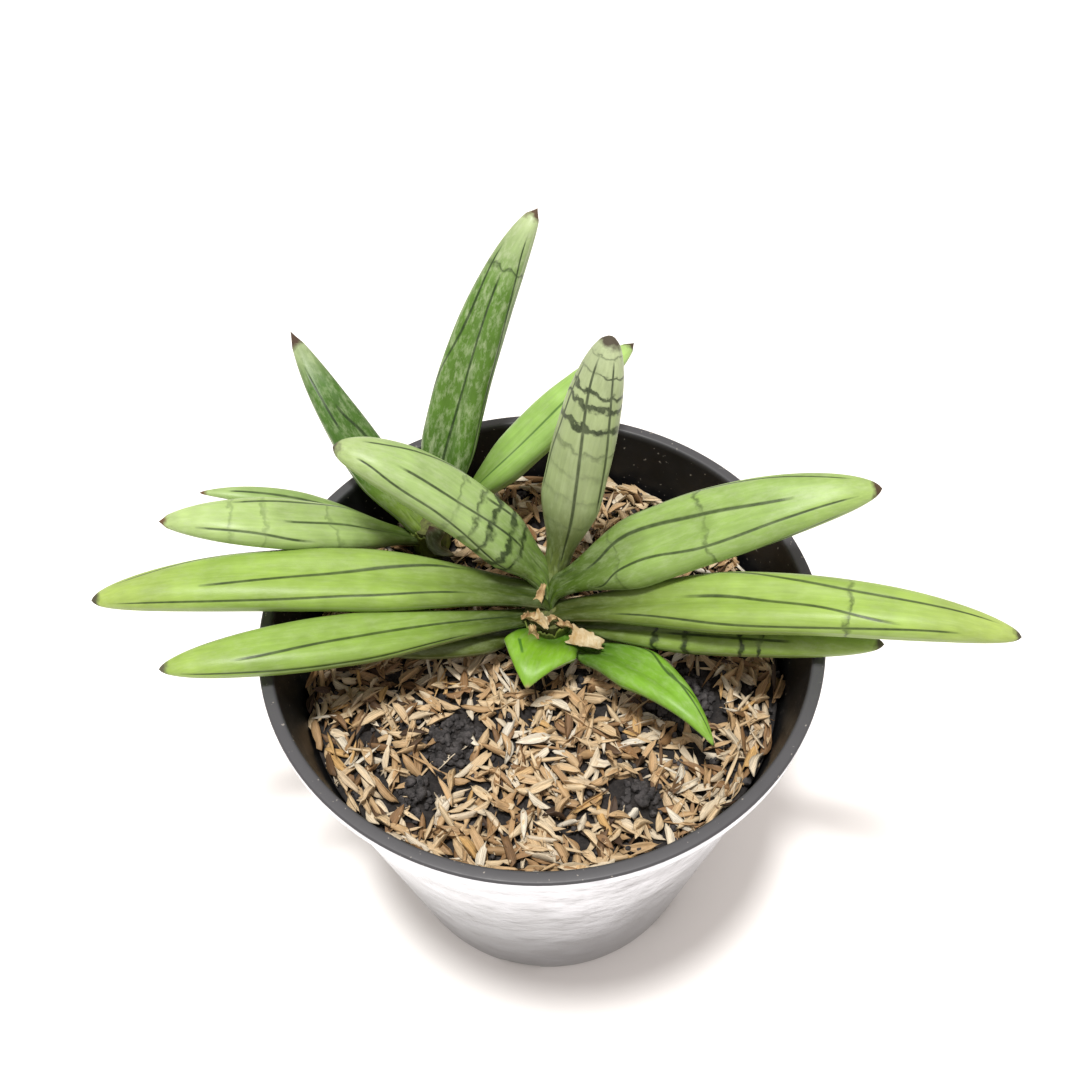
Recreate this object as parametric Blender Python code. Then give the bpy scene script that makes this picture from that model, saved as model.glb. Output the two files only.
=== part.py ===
"""Cylindrical snake plant in its pot: two rosettes of thick, pointed leaves, with rice husk over the soil.

The origin is the middle of the pot's underside. +Z is up and +X is to the right of someone facing it.
"""

import math
import random
from collections import namedtuple

import bmesh
import bpy
from mathutils import Matrix, Vector, noise

MM = 0.001

# The pot
POT_HEIGHT = 130 * MM
POT_TOP_RADIUS = 75 * MM
POT_FOOT_RADIUS = 51.5 * MM
WALL = 1.5 * MM
LIP_WIDTH = 3.4 * MM
LIP_DEPTH = 4 * MM
LIP_ROUND = 0.6 * MM
FLOOR_HEIGHT = 4 * MM
FLOOR_THICK = 2 * MM
FOOT_RING_WIDTH = 3 * MM
CENTRE_PAD_RADIUS = 10 * MM
POT_SEGMENTS = 64
FOOT_NOTCHES = 6
FOOT_NOTCH_WIDTH = 13 * MM
FOOT_NOTCH_HEIGHT = 2.4 * MM
FIRST_NOTCH_TURN = math.radians(-42)
DRAIN_HOLE_RADIUS = 4 * MM
DRAIN_HOLE_CIRCLE = 34 * MM

# The soil and the husk over it
SOIL_LEVEL = 103.5 * MM
SOIL_RINGS = 11
SOIL_SEGMENTS = 40
SOIL_BANK = 6 * MM
SOIL_LUMP = 1.2 * MM
SOIL_LUMP_SIZE = 14 * MM
CLOD_RISE = 3.2 * MM
CLOD_CRUMB = 1.2 * MM
CLOD_SIZE = 3.5 * MM
SEAT_GAP = 0.35 * MM
HUSK_BED = 1.5 * MM
HUSK_CHIPS = 120
HUSK_LENGTH = 11 * MM
HUSK_WIDTH = 3.8 * MM
HUSK_THICK = 1.3 * MM
HUSK_SIZES = (0.75, 1.1)
HUSK_STEEPEST = 26
HUSK_SHOOT_CLEARANCE = 13 * MM
HUSK_SEED = 11

# Bare patches of dark soil, as (x, y, radius)
BARE_PATCHES = [
    (-25 * MM, -24 * MM, 7 * MM),
    (38 * MM, -14 * MM, 8 * MM),
    (-34 * MM, -39 * MM, 4 * MM),
    (24 * MM, -43 * MM, 4.5 * MM),
]

# The two shoots' stems: where each stands, its radius and how high it reaches
Shoot = namedtuple("Shoot", "x y radius top")
SHOOTS = {
    "main": Shoot(2 * MM, 8 * MM, 6.5 * MM, 119 * MM),
    "pup": Shoot(-33 * MM, 44 * MM, 5.5 * MM, 117 * MM),
}
STEM_FOOT = 90 * MM
STEM_SIDES = 20

# Leaf colours
BRIGHT = (0.42, 0.62, 0.16, 1)
BANDED = (0.38, 0.5, 0.22, 1)
DARK = (0.12, 0.28, 0.06, 1)
VIVID = (0.2, 0.5, 0.04, 1)

# A leaf: its colour, where its centre line starts, its middle and its end, its greatest width and thickness,
# its twist, how deep its upper channel is, how broad its foot is, where along it the full width starts and
# ends, and how blunt its end is. Lengths are in millimetres, angles in degrees and the rest are shares.
Leaf = namedtuple(
    "Leaf", "name colour foot middle tip width thick roll channel foot_share full_from full_to blunt")
LEAVES = [
    Leaf("leaf_main_upright", BANDED, (5.5, 20.5, 127), (12.5, 28, 163), (19.5, 34, 195),
         18, 14, 180, 0.25, 0.45, 0.3, 0.45, 0.9),
    Leaf("leaf_main_banded", BANDED, (0, 17.5, 125), (-25, 23, 153), (-52, 27.5, 167),
         18.5, 13.5, 0, 0.3, 0.55, 0.2, 0.45, 0.8),
    Leaf("leaf_main_right_raised", BANDED, (5.5, 12.5, 124.5), (46, 10, 152), (85.5, 8.5, 165),
         20.5, 15, 20, 0.5, 0.35, 0.27, 0.4, 0.5),
    Leaf("leaf_main_left_long", BRIGHT, (-0.5, 12, 121), (-59.5, 6.5, 137.5), (-116.5, 0.5, 141),
         18, 13, 0, 0.5, 0.3, 0.4, 0.42, 0.8),
    Leaf("leaf_main_right_long", BRIGHT, (5, 8, 118.5), (61.5, -11, 145), (115, -25.5, 148),
         17.5, 13, 5, 0.5, 0.3, 0.38, 0.37, 0.7),
    Leaf("leaf_main_left_low", BRIGHT, (-3, 7.5, 117), (-51, -9, 133), (-96, -19.5, 138),
         15.5, 10.5, 0, 0.5, 0.4, 0.5, 0.55, 0.5),
    Leaf("leaf_main_right_low", BRIGHT, (8, 5.5, 114.5), (48.5, -9, 129.5), (86, -19, 137),
         13, 9.5, 0, 0.4, 0.4, 0.4, 0.45, 0.8),
    Leaf("leaf_main_left_under", BRIGHT, (-6, 6, 112.5), (-25.5, 0, 118), (-50, -3, 121),
         11.5, 8, 0, 0.4, 0.5, 0.3, 0.5, 0.5),
    Leaf("leaf_main_front_short", VIVID, (1.5, 0, 116), (-2, -9, 121), (-4.5, -17.5, 119),
         20.5, 7, 0, 0.8, 0.9, 0.3, 0.3, -1),
    Leaf("leaf_main_front_right", VIVID, (15, -3, 113.5), (31.5, -21.5, 124.5), (42.5, -37.5, 121),
         13.5, 9, 0, 0.6, 0.6, 0.35, 0.35, -0.3),
    Leaf("leaf_pup_back_tall", DARK, (-30.5, 49, 117.5), (-17, 70.5, 160), (3, 88, 195),
         17.5, 13, 0, 0.6, 0.65, 0.22, 0.3, 0.8),
    Leaf("leaf_pup_back_left", DARK, (-37, 44, 118), (-53, 53.5, 147), (-69, 76.5, 165),
         14.5, 11.5, 0, 0.5, 0.6, 0.3, 0.25, 0),
    Leaf("leaf_pup_back_right", BRIGHT, (-23.3, 51.6, 115.2), (3.5, 54.5, 147), (30, 75.5, 157),
         15.5, 11.5, 0, 0.4, 0.5, 0.3, 0.4, 0.3),
    Leaf("leaf_pup_left", BRIGHT, (-39, 40, 115), (-67, 21, 145), (-100, 19, 150),
         15.5, 11, -8, 0.5, 0.45, 0.3, 0.5, 0.3),
    Leaf("leaf_pup_left_under", BRIGHT, (-42, 46.5, 109), (-65.5, 33, 136.5), (-92, 30, 145.5),
         7.5, 5, 0, 0.4, 0.4, 0.5, 0.5, 0),
    Leaf("leaf_pup_sheath", DARK, (-28.5, 35.5, 113), (-30, 35, 118.5), (-32, 38, 122),
         8.5, 3, 0, 0.6, 0.9, 0.3, 0.35, 0),
]
LEAF_RINGS = 15
LEAF_SIDES = 16
FURROW_EVERY = 4
FURROW_DEPTH = 0.05
LEAF_ROUGHNESS = 0.45
CHANNEL_FLATTEN = 0.2
CHANNEL_WIDTH = 0.5
CHANNEL_FADE_FROM = 0.3
FOOT_ROUND = 1 * MM
TRIM_GAP = 0.5 * MM

# The dried scraps in the crown: middle in millimetres, size, curl, heading and rise
Scrap = namedtuple("Scrap", "at length width curl heading rise")
SCRAPS = {
    "dry_scale": Scrap((12, -2.5, 118.4), 8.5, 5.5, 0.8, -20, -8),
    "dry_shred": Scrap((-0.5, 3.5, 120.3), 7, 4, 0.9, -60, 15),
}
SCRAP_CELLS = 4
SCRAP_THICK = 0.7 * MM

BLACK = (0.02, 0.02, 0.022, 1)
EARTH = (0.03, 0.026, 0.022, 1)
STRAW = (0.55, 0.38, 0.2, 1)
STEM_COLOUR = (0.3, 0.36, 0.12, 1)
DRY_COLOUR = (0.45, 0.33, 0.16, 1)


def clear_scene():
    for obj in list(bpy.data.objects):
        bpy.data.objects.remove(obj, do_unlink=True)


def make_material(name, colour, roughness=0.6, metallic=0.0):
    material = bpy.data.materials.new(name)
    material.use_nodes = True
    shader = material.node_tree.nodes["Principled BSDF"]
    shader.inputs["Base Color"].default_value = colour
    shader.inputs["Roughness"].default_value = roughness
    shader.inputs["Metallic"].default_value = metallic
    return material


def add_object(name, bm, material):
    bmesh.ops.recalc_face_normals(bm, faces=bm.faces)
    mesh = bpy.data.meshes.new(name)
    bm.to_mesh(mesh)
    bm.free()
    obj = bpy.data.objects.new(name, mesh)
    bpy.context.scene.collection.objects.link(obj)
    if material:
        mesh.materials.append(material)
    mesh.shade_smooth()
    mesh.set_sharp_from_angle(angle=math.radians(40))
    return obj


def cut_with(obj, cutter):
    modifier = obj.modifiers.new(cutter.name, "BOOLEAN")
    modifier.operation = "DIFFERENCE"
    modifier.solver = "EXACT"
    modifier.object = cutter
    cutter.hide_render = True
    cutter.display_type = "WIRE"


def smoothstep(t):
    t = min(1.0, max(0.0, t))
    return t * t * (3 - 2 * t)


def spin_profile(points, segments):
    """A turned solid from a profile in the XZ plane that starts and ends on the axis."""
    bm = bmesh.new()
    verts = [bm.verts.new((r, 0, z)) for r, z in points]
    edges = [bm.edges.new(pair) for pair in zip(verts, verts[1:])]
    bmesh.ops.spin(bm, geom=verts + edges, cent=(0, 0, 0), axis=(0, 0, 1), angle=2 * math.pi,
                   steps=segments, use_merge=True)
    bmesh.ops.remove_doubles(bm, verts=bm.verts, dist=0.01 * MM)
    return bm


def wall_radius(height):
    """The pot wall's outer radius at a height."""
    return POT_FOOT_RADIUS + (POT_TOP_RADIUS - LIP_WIDTH + WALL - POT_FOOT_RADIUS) * height / POT_HEIGHT


def make_pot():
    floor_top = FLOOR_HEIGHT + FLOOR_THICK
    neck = wall_radius(POT_HEIGHT - LIP_DEPTH)
    profile = [
        (0, floor_top),
        (wall_radius(floor_top) - WALL, floor_top),
        (wall_radius(POT_HEIGHT - LIP_ROUND) - WALL, POT_HEIGHT - LIP_ROUND),
        (wall_radius(POT_HEIGHT) - WALL + LIP_ROUND, POT_HEIGHT),
        (POT_TOP_RADIUS - LIP_ROUND, POT_HEIGHT),
        (POT_TOP_RADIUS, POT_HEIGHT - LIP_ROUND),
        (POT_TOP_RADIUS, POT_HEIGHT - LIP_DEPTH + LIP_ROUND),
        (POT_TOP_RADIUS - LIP_ROUND, POT_HEIGHT - LIP_DEPTH),
        (neck, POT_HEIGHT - LIP_DEPTH),
        (wall_radius(POT_HEIGHT / 2), POT_HEIGHT / 2),
        (POT_FOOT_RADIUS + LIP_ROUND / 2, LIP_ROUND),
        (POT_FOOT_RADIUS - LIP_ROUND, 0),
        (POT_FOOT_RADIUS - FOOT_RING_WIDTH, 0),
        (POT_FOOT_RADIUS - FOOT_RING_WIDTH, FLOOR_HEIGHT),
        (CENTRE_PAD_RADIUS, FLOOR_HEIGHT),
        (CENTRE_PAD_RADIUS, 0),
        (0, 0),
    ]
    black_plastic = make_material("black_plastic", BLACK, 0.4)
    pot = add_object("pot", spin_profile(profile, POT_SEGMENTS), black_plastic)
    cutters = bmesh.new()
    for i in range(FOOT_NOTCHES):
        turn = Matrix.Rotation(2 * math.pi * i / FOOT_NOTCHES + FIRST_NOTCH_TURN, 4, "Z")
        block = Matrix.Translation((POT_FOOT_RADIUS, 0, 0)) @ Matrix.Diagonal(
            (4 * FOOT_RING_WIDTH, FOOT_NOTCH_WIDTH, 2 * FOOT_NOTCH_HEIGHT, 1))
        bmesh.ops.create_cube(cutters, size=1, matrix=turn @ block)
        hole = Matrix.Translation((DRAIN_HOLE_CIRCLE, 0, FLOOR_HEIGHT + FLOOR_THICK / 2))
        bmesh.ops.create_cone(cutters, cap_ends=True, segments=16, radius1=DRAIN_HOLE_RADIUS,
                              radius2=DRAIN_HOLE_RADIUS, depth=3 * FLOOR_THICK, matrix=turn @ hole)
    cut_with(pot, add_object("pot_cutters", cutters, None))
    return pot


def ground(x, y):
    """Height of the soil between its clods: level in front and banked up at the back and right."""
    bank = SOIL_BANK * smoothstep((y + 0.5 * x) / POT_TOP_RADIUS)
    lump = SOIL_LUMP * noise.noise(Vector((x, y, 0)) / SOIL_LUMP_SIZE)
    return SOIL_LEVEL + bank + lump


def clod(x, y):
    """How far the soil stands up through the husk in its bare patches, in crumbs a few millimetres wide."""
    inside = max(1 - math.hypot(x - px, y - py) / radius for px, py, radius in BARE_PATCHES)
    crumbs = CLOD_RISE + CLOD_CRUMB * noise.noise(Vector((x, y, 0)) / CLOD_SIZE)
    return crumbs * smoothstep(2 * inside)


def edge_radius(height):
    """How far the filling reaches towards the pot's wall at a height."""
    return wall_radius(height) - WALL - 2 * SEAT_GAP


def ring_points(radius, height):
    """One ring of points around the pot's middle, each at the height given for its place."""
    points = []
    for k in range(SOIL_SEGMENTS):
        angle = 2 * math.pi * k / SOIL_SEGMENTS
        x, y = radius * math.cos(angle), radius * math.sin(angle)
        points.append(Vector((x, y, height(x, y))))
    return points


def cap_rings(bm, height, reach):
    """A round sheet of rings whose heights follow a function; returns its outermost ring."""
    middle = bm.verts.new((0, 0, height(0, 0)))
    inner = None
    for ring in range(1, SOIL_RINGS + 1):
        row = [bm.verts.new(point) for point in ring_points(reach * ring / SOIL_RINGS, height)]
        for k in range(SOIL_SEGMENTS):
            after = (k + 1) % SOIL_SEGMENTS
            if inner:
                bm.faces.new((inner[k], row[k], row[after], inner[after]))
            else:
                bm.faces.new((middle, row[k], row[after]))
        inner = row
    return inner


def join_rings(bm, first, second):
    for k in range(SOIL_SEGMENTS):
        after = (k + 1) % SOIL_SEGMENTS
        bm.faces.new((first[k], second[k], second[after], first[after]))


def make_post(name, shoot, radius, low, high):
    """A plain upright round post at a shoot's place."""
    bm = bmesh.new()
    place = Matrix.Translation((shoot.x, shoot.y, (low + high) / 2))
    bmesh.ops.create_cone(bm, cap_ends=True, segments=STEM_SIDES, radius1=radius, radius2=radius,
                          depth=high - low, matrix=place)
    return add_object(name, bm, None)


def make_filling(name, height, floor, material):
    """A solid that fills the pot from a level floor up to a height function."""
    bm = bmesh.new()
    top = cap_rings(bm, height, edge_radius(SOIL_LEVEL))
    base = [bm.verts.new(point) for point in ring_points(edge_radius(floor), lambda x, y: floor)]
    join_rings(bm, top, base)
    bm.faces.new(base)
    bmesh.ops.triangulate(bm, faces=bm.faces, quad_method="FIXED")
    return add_object(name, bm, material)


def make_soil():
    """The soil fills the pot from its floor, with plain holes where the two stems stand."""
    soil = make_filling("soil", lambda x, y: ground(x, y) + clod(x, y), FLOOR_HEIGHT + FLOOR_THICK + SEAT_GAP,
                        make_material("potting_soil", EARTH, 0.95))
    for name, shoot in SHOOTS.items():
        hole_radius = shoot.radius + SEAT_GAP
        cut_with(soil, make_post(f"soil_hole_{name}", shoot, hole_radius, STEM_FOOT - SEAT_GAP, POT_HEIGHT))


def make_flake(name, place, length, width):
    """One rice husk: a narrow flake with pointed ends, set by a placing matrix."""
    bm = bmesh.new()
    bmesh.ops.create_uvsphere(bm, u_segments=4, v_segments=2, radius=0.5,
                              matrix=place @ Matrix.Diagonal((length, width, 2 * HUSK_THICK, 1)))
    return add_object(name, bm, None)


def husk_places():
    """Where the standing-out husks lie: spread over the bed by a seeded rule, clear of stems and bare soil."""
    chance = random.Random(HUSK_SEED)
    places = []
    reach = edge_radius(SOIL_LEVEL) - HUSK_LENGTH / 2
    while len(places) < HUSK_CHIPS:
        distance = reach * math.sqrt(chance.random())
        angle = chance.uniform(0, 2 * math.pi)
        x, y = distance * math.cos(angle), distance * math.sin(angle)
        heading = Matrix.Rotation(chance.uniform(0, math.pi), 4, "Z")
        tilt = Matrix.Rotation(math.radians(chance.uniform(-HUSK_STEEPEST, HUSK_STEEPEST)), 4, "Y")
        lean = Matrix.Rotation(math.radians(chance.uniform(-HUSK_STEEPEST, HUSK_STEEPEST)), 4, "X")
        size = chance.uniform(*HUSK_SIZES)
        near_shoot = min(math.hypot(x - s.x, y - s.y) for s in SHOOTS.values()) < HUSK_SHOOT_CLEARANCE
        patch_gaps = [math.hypot(x - px, y - py) - radius for px, py, radius in BARE_PATCHES]
        near_patch = min(patch_gaps) < HUSK_LENGTH / 2
        if near_shoot or near_patch:
            continue
        at = Matrix.Translation((x, y, ground(x, y) + SEAT_GAP + HUSK_BED))
        places.append((at @ heading @ tilt @ lean, size))
    return places


def make_husk():
    """Rice husk over the soil: a thin bed with the topmost flakes standing out of it, fused into one body."""
    bm = bmesh.new()
    reach = edge_radius(SOIL_LEVEL) - 2 * SEAT_GAP
    under = cap_rings(bm, lambda x, y: ground(x, y) - SEAT_GAP, reach)
    over = cap_rings(bm, lambda x, y: ground(x, y) + SEAT_GAP + HUSK_BED, reach)
    join_rings(bm, under, over)
    husk = add_object("rice_husk", bm, make_material("rice_husk", STRAW, 0.8))
    flakes = bpy.data.collections.new("flakes")
    bpy.context.scene.collection.children.link(flakes)
    for i, (place, size) in enumerate(husk_places()):
        flake = make_flake(f"flake_{i}", place, HUSK_LENGTH * size, HUSK_WIDTH * size)
        bpy.context.scene.collection.objects.unlink(flake)
        flakes.objects.link(flake)
    fuse_with(husk, flakes)
    cut_with(husk, make_filling("husk_underside", lambda x, y: ground(x, y) + clod(x, y) + SEAT_GAP,
                                POT_HEIGHT / 2, None))
    for name, shoot in SHOOTS.items():
        cut_with(husk, make_post(f"husk_hole_{name}", shoot, shoot.radius + SEAT_GAP, STEM_FOOT, POT_HEIGHT))


def fuse_with(obj, collection):
    """Fuses a collection's objects into one object for good, and removes them."""
    modifier = obj.modifiers.new("fuse", "BOOLEAN")
    modifier.operation = "UNION"
    modifier.solver = "MANIFOLD"
    modifier.operand_type = "COLLECTION"
    modifier.collection = collection
    graph = bpy.context.evaluated_depsgraph_get()
    fused = bpy.data.meshes.new_from_object(obj.evaluated_get(graph))
    obj.modifiers.clear()
    obj.data = fused
    for member in list(collection.objects):
        bpy.data.objects.remove(member, do_unlink=True)
    bpy.data.collections.remove(collection)


def leaf_width(leaf, s):
    """Share of the greatest width at a share s of the length: narrow foot, full middle, rounded-off tip."""
    body = leaf.foot_share + (1 - leaf.foot_share) * smoothstep(s / leaf.full_from)
    past = max(0.0, (s - leaf.full_to) / (1 - leaf.full_to))
    return body * (1 - past ** (1.5 + 0.5 * leaf.blunt)) ** (0.7 - 0.2 * leaf.blunt)


def leaf_spine(leaf):
    """Start, control and end points of the centre line, a curve that passes through its middle point."""
    foot, middle, tip = (Vector(point) * MM for point in (leaf.foot, leaf.middle, leaf.tip))
    return foot, 2 * middle - (foot + tip) / 2, tip


def leaf_frame(leaf, s):
    """Centre, sideways and upward directions of the leaf at a share s of its length."""
    a, b, c = leaf_spine(leaf)
    centre = a * (1 - s) ** 2 + b * 2 * s * (1 - s) + c * s * s
    along = ((b - a) * (1 - s) + (c - b) * s).normalized()
    up = (Vector((0, 0, 1)) - along * along.z).normalized()
    up = Matrix.Rotation(math.radians(leaf.roll), 3, along) @ up
    return centre, along.cross(up), up


def leaf_section(leaf, s, k):
    """Sideways and upward offsets of point k of the section: round below, channelled above near the foot."""
    angle = 2 * math.pi * k / LEAF_SIDES
    share = leaf_width(leaf, s)
    furrow = 1 - (FURROW_DEPTH if k % FURROW_EVERY == 1 else 0)
    side, lift = math.cos(angle) * furrow, math.sin(angle) * furrow
    if lift > 0:
        fade = 1 - smoothstep((s - CHANNEL_FADE_FROM) / (1 - CHANNEL_FADE_FROM))
        channel = leaf.channel * math.exp(-(side / CHANNEL_WIDTH) ** 2)
        lift = lift * (1 - CHANNEL_FLATTEN * fade) - channel * fade
    return side * leaf.width * MM / 2 * share, lift * leaf.thick * MM / 2 * share


def leaf_body(leaf, clearance=0.0):
    """A leaf swept along its centre line, swollen all round by a clearance when it serves as a cutter."""
    bm = bmesh.new()
    rings = []
    for ring in range(LEAF_RINGS):
        centre, sideways, up = leaf_frame(leaf, ring / LEAF_RINGS)
        row = []
        for k in range(LEAF_SIDES):
            offset = Vector(leaf_section(leaf, ring / LEAF_RINGS, k))
            offset += offset.normalized() * clearance
            row.append(bm.verts.new(centre + sideways * offset.x + up * offset.y))
        rings.append(row)
    foot, control, tip = leaf_spine(leaf)
    start = bm.verts.new(foot - (control - foot).normalized() * (FOOT_ROUND + clearance))
    end = bm.verts.new(tip + (tip - control).normalized() * clearance)
    for k in range(LEAF_SIDES):
        after = (k + 1) % LEAF_SIDES
        bm.faces.new((start, rings[0][k], rings[0][after]))
        bm.faces.new((rings[-1][k], rings[-1][after], end))
        for near, far in zip(rings, rings[1:]):
            bm.faces.new((near[k], near[after], far[after], far[k]))
    return bm


def make_scrap(name, scrap):
    """A dried papery scrap: a small sheet curled across its width."""
    bm = bmesh.new()
    bmesh.ops.create_grid(bm, x_segments=SCRAP_CELLS, y_segments=SCRAP_CELLS, size=0.5)
    for vert in bm.verts:
        across, along = vert.co.y, vert.co.x
        narrow = 1 - 0.5 * (along + 0.5) ** 2
        vert.co.z = scrap.curl * MM * (2 * across) ** 2 + 0.3 * scrap.curl * MM * math.sin(7 * along)
        vert.co.x, vert.co.y = along * scrap.length * MM, across * scrap.width * MM * narrow
    bmesh.ops.recalc_face_normals(bm, faces=bm.faces)
    bmesh.ops.solidify(bm, geom=bm.faces, thickness=SCRAP_THICK)
    heading = Matrix.Rotation(math.radians(scrap.heading), 4, "Z")
    rise = Matrix.Rotation(math.radians(-scrap.rise), 4, "Y")
    bm.transform(Matrix.Translation(Vector(scrap.at) * MM) @ heading @ rise)
    return add_object(name, bm, make_material(name, DRY_COLOUR, 0.8))


def make_stem(name, shoot):
    """A short stem that fills the room between its leaves' feet."""
    stem = make_post(f"stem_{name}", shoot, shoot.radius, STEM_FOOT, shoot.top)
    stem.data.materials.append(make_material(f"stem_{name}", STEM_COLOUR, 0.7))
    for leaf in LEAVES:
        if f"_{name}_" in leaf.name:
            cut_with(stem, add_object(f"stem_cutter_{leaf.name}", leaf_body(leaf, TRIM_GAP), None))


def main():
    clear_scene()
    make_pot()
    make_soil()
    make_husk()
    for leaf in LEAVES:
        add_object(leaf.name, leaf_body(leaf), make_material(leaf.name, leaf.colour, LEAF_ROUGHNESS))
    for name, shoot in SHOOTS.items():
        make_stem(name, shoot)
    for name, scrap in SCRAPS.items():
        make_scrap(name, scrap)


main()
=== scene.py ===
# %% [markdown]
# A cylindrical snake plant in its nursery pot. The imported part holds every piece as a plain solid of the
# right size, in the right place. This lesson dresses it: a solid either keeps its shape and gets a material
# made of shader nodes, or a finer piece is modelled that stands for it. The frame is loaded first, so that
# all that follows shares its coordinates.

# %% Load the frame
import math
import random
from collections import namedtuple

import bmesh
import bpy
from mathutils import Matrix, Vector, noise


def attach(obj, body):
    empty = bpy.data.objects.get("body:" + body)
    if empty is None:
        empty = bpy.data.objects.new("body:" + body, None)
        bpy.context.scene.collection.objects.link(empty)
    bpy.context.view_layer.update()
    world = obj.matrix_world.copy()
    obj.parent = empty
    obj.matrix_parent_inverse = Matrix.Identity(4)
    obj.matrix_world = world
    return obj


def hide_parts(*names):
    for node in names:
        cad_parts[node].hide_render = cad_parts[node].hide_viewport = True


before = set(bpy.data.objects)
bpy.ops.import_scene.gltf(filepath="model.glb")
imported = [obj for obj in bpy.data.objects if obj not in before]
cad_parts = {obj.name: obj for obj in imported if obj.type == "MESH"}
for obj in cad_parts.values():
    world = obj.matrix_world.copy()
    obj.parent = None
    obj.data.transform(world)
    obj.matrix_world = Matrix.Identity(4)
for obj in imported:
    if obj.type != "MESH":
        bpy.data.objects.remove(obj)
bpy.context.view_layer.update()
MM = 0.001
print("CAD nodes:", len(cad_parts))

# %% [markdown]
# Colours are picked as the hex codes that a screen shows, but a shader wants linear light, so one
# function turns the one into the other. The photograph is brightly lit, and a white surface in it gets
# almost twice the light that white needs. A second function divides by that light, so that a colour read
# off the photograph comes out of the render as it was read. One function adds every shader node, which
# keeps the recipes short.

# %% Colours and nodes
FULL_LIGHT = 1.85    # the lamp and the world together, where 1 turns a white board white
BLACK, WHITE = (0, 0, 0, 1), (1, 1, 1, 1)


def linear(code):
    """A screen colour such as "#b5d96f" as linear red, green, blue and alpha."""
    parts = [int(code[i:i + 2], 16) / 255 for i in (1, 3, 5)]
    return tuple(c / 12.92 if c <= 0.04045 else ((c + 0.055) / 1.055) ** 2.4 for c in parts) + (1.0,)


def lit(code):
    """The skin colour of something that shows a screen colour where it lies in this scene's full light."""
    return tuple(c / FULL_LIGHT for c in linear(code)[:3]) + (1.0,)


def add(tree, kind, inputs=None, stops=None, **options):
    """Adds a shader node with its settings and links, and gives back its first output.

    An input is named, or numbered where names repeat, and may be given another node's output. The stops are
    a colour ramp's, each a place and a colour.
    """
    made = tree.nodes.new("ShaderNode" + kind)
    for option, value in options.items():
        setattr(made, option, value)
    for key, value in (inputs or {}).items():
        socket = made.inputs[key] if isinstance(key, int) else next(
            s for s in made.inputs if s.enabled and s.name == key)
        if isinstance(value, bpy.types.NodeSocket):
            tree.links.new(value, socket)
        else:
            socket.default_value = value
    if stops:
        elements = made.color_ramp.elements
        elements.remove(elements[1])
        elements[0].position, elements[0].color = stops[0]
        for place, colour in stops[1:]:
            elements.new(place).color = colour
    return next(s for s in made.outputs if s.enabled)


def new_material(name, **constants):
    """A material with only its Principled shader, whose sockets that stay the same all over are set here."""
    material = bpy.data.materials.new(name)
    material.use_nodes = True
    shader = material.node_tree.nodes["Principled BSDF"]
    for socket, value in constants.items():
        shader.inputs[socket.replace("_", " ")].default_value = value
    return material, material.node_tree, shader


print("a bright leaf's green in linear light:", [round(c, 3) for c in linear("#b5d96f")])

# %% [markdown]
# Every new piece starts as a bmesh, is shaped with its operators, and ends as an object at the origin,
# with its place in its points, so that a pattern on object coordinates stays where it is. The last steps
# are alike for all pieces: outward normals, smooth shading, materials and a ride on the part's only body.

# %% Finish a mesh
def finish_piece(name, bm, materials, replaces=None):
    """Makes a bmesh a piece, which may stand for some solids."""
    bmesh.ops.recalc_face_normals(bm, faces=bm.faces)
    mesh = bpy.data.meshes.new(name)
    bm.to_mesh(mesh)
    bm.free()
    mesh.shade_smooth()
    for material in materials:
        mesh.materials.append(material)
    piece = bpy.data.objects.new(name, mesh)
    bpy.context.scene.collection.objects.link(piece)
    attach(piece, "root")
    for node_name in replaces or []:
        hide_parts(node_name)
    print(name + ":", len(mesh.polygons), "faces")
    return piece


# %% [markdown]
# The photograph looks down on the pot from the front at about 54 degrees, and from so near that the
# leaves that rise look larger. The camera is placed by an elevation and a distance from a point in the
# crown, and then turned a little. That takes few numbers, and they were fitted until the pot's rim and
# foot lay where the photograph has them.

# %% Camera
TARGET = Vector((0, 0, 130 * MM))
ELEVATION, DISTANCE = math.radians(54.5), 290 * MM
YAW, PITCH, ROLL = (math.radians(a) for a in (-0.09, 3.75, 2.0))
SENSOR, LENS = 36, 36.1    # millimetres
NEAREST_SEEN = 10 * MM

back = Vector((0, -math.cos(ELEVATION), math.sin(ELEVATION)))
right = Vector((1, 0, 0))
up = right.cross(-back)
turn = Matrix.Rotation(PITCH, 3, right) @ Matrix.Rotation(YAW, 3, up)
ahead = turn @ -back
turn = Matrix.Rotation(ROLL, 3, ahead) @ turn
right, up = turn @ right, turn @ up
camera = bpy.data.objects.new("camera", bpy.data.cameras.new("camera"))
camera.matrix_world = Matrix.Translation(TARGET + back * DISTANCE) @ Matrix(
    (right, up, -ahead)).transposed().to_4x4()
camera.data.sensor_width, camera.data.lens = SENSOR, LENS
camera.data.clip_start = NEAREST_SEEN
bpy.context.scene.collection.objects.link(camera)
bpy.context.scene.camera = camera
print("camera above the table:", round((TARGET + back * DISTANCE).z / MM), "mm")

# %% [markdown]
# The pot stands on a matt white board, so strongly lit that its edges can't be seen. A wide plain grid is
# enough, with a paint that is very slightly cloudy. One small lamp high overhead gives the bright upper
# sides and the shadow round the pot's foot, and an even pale world fills the shades. The Standard view
# transform is chosen because it lets the board go white, where a filmic one would turn it grey.

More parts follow.
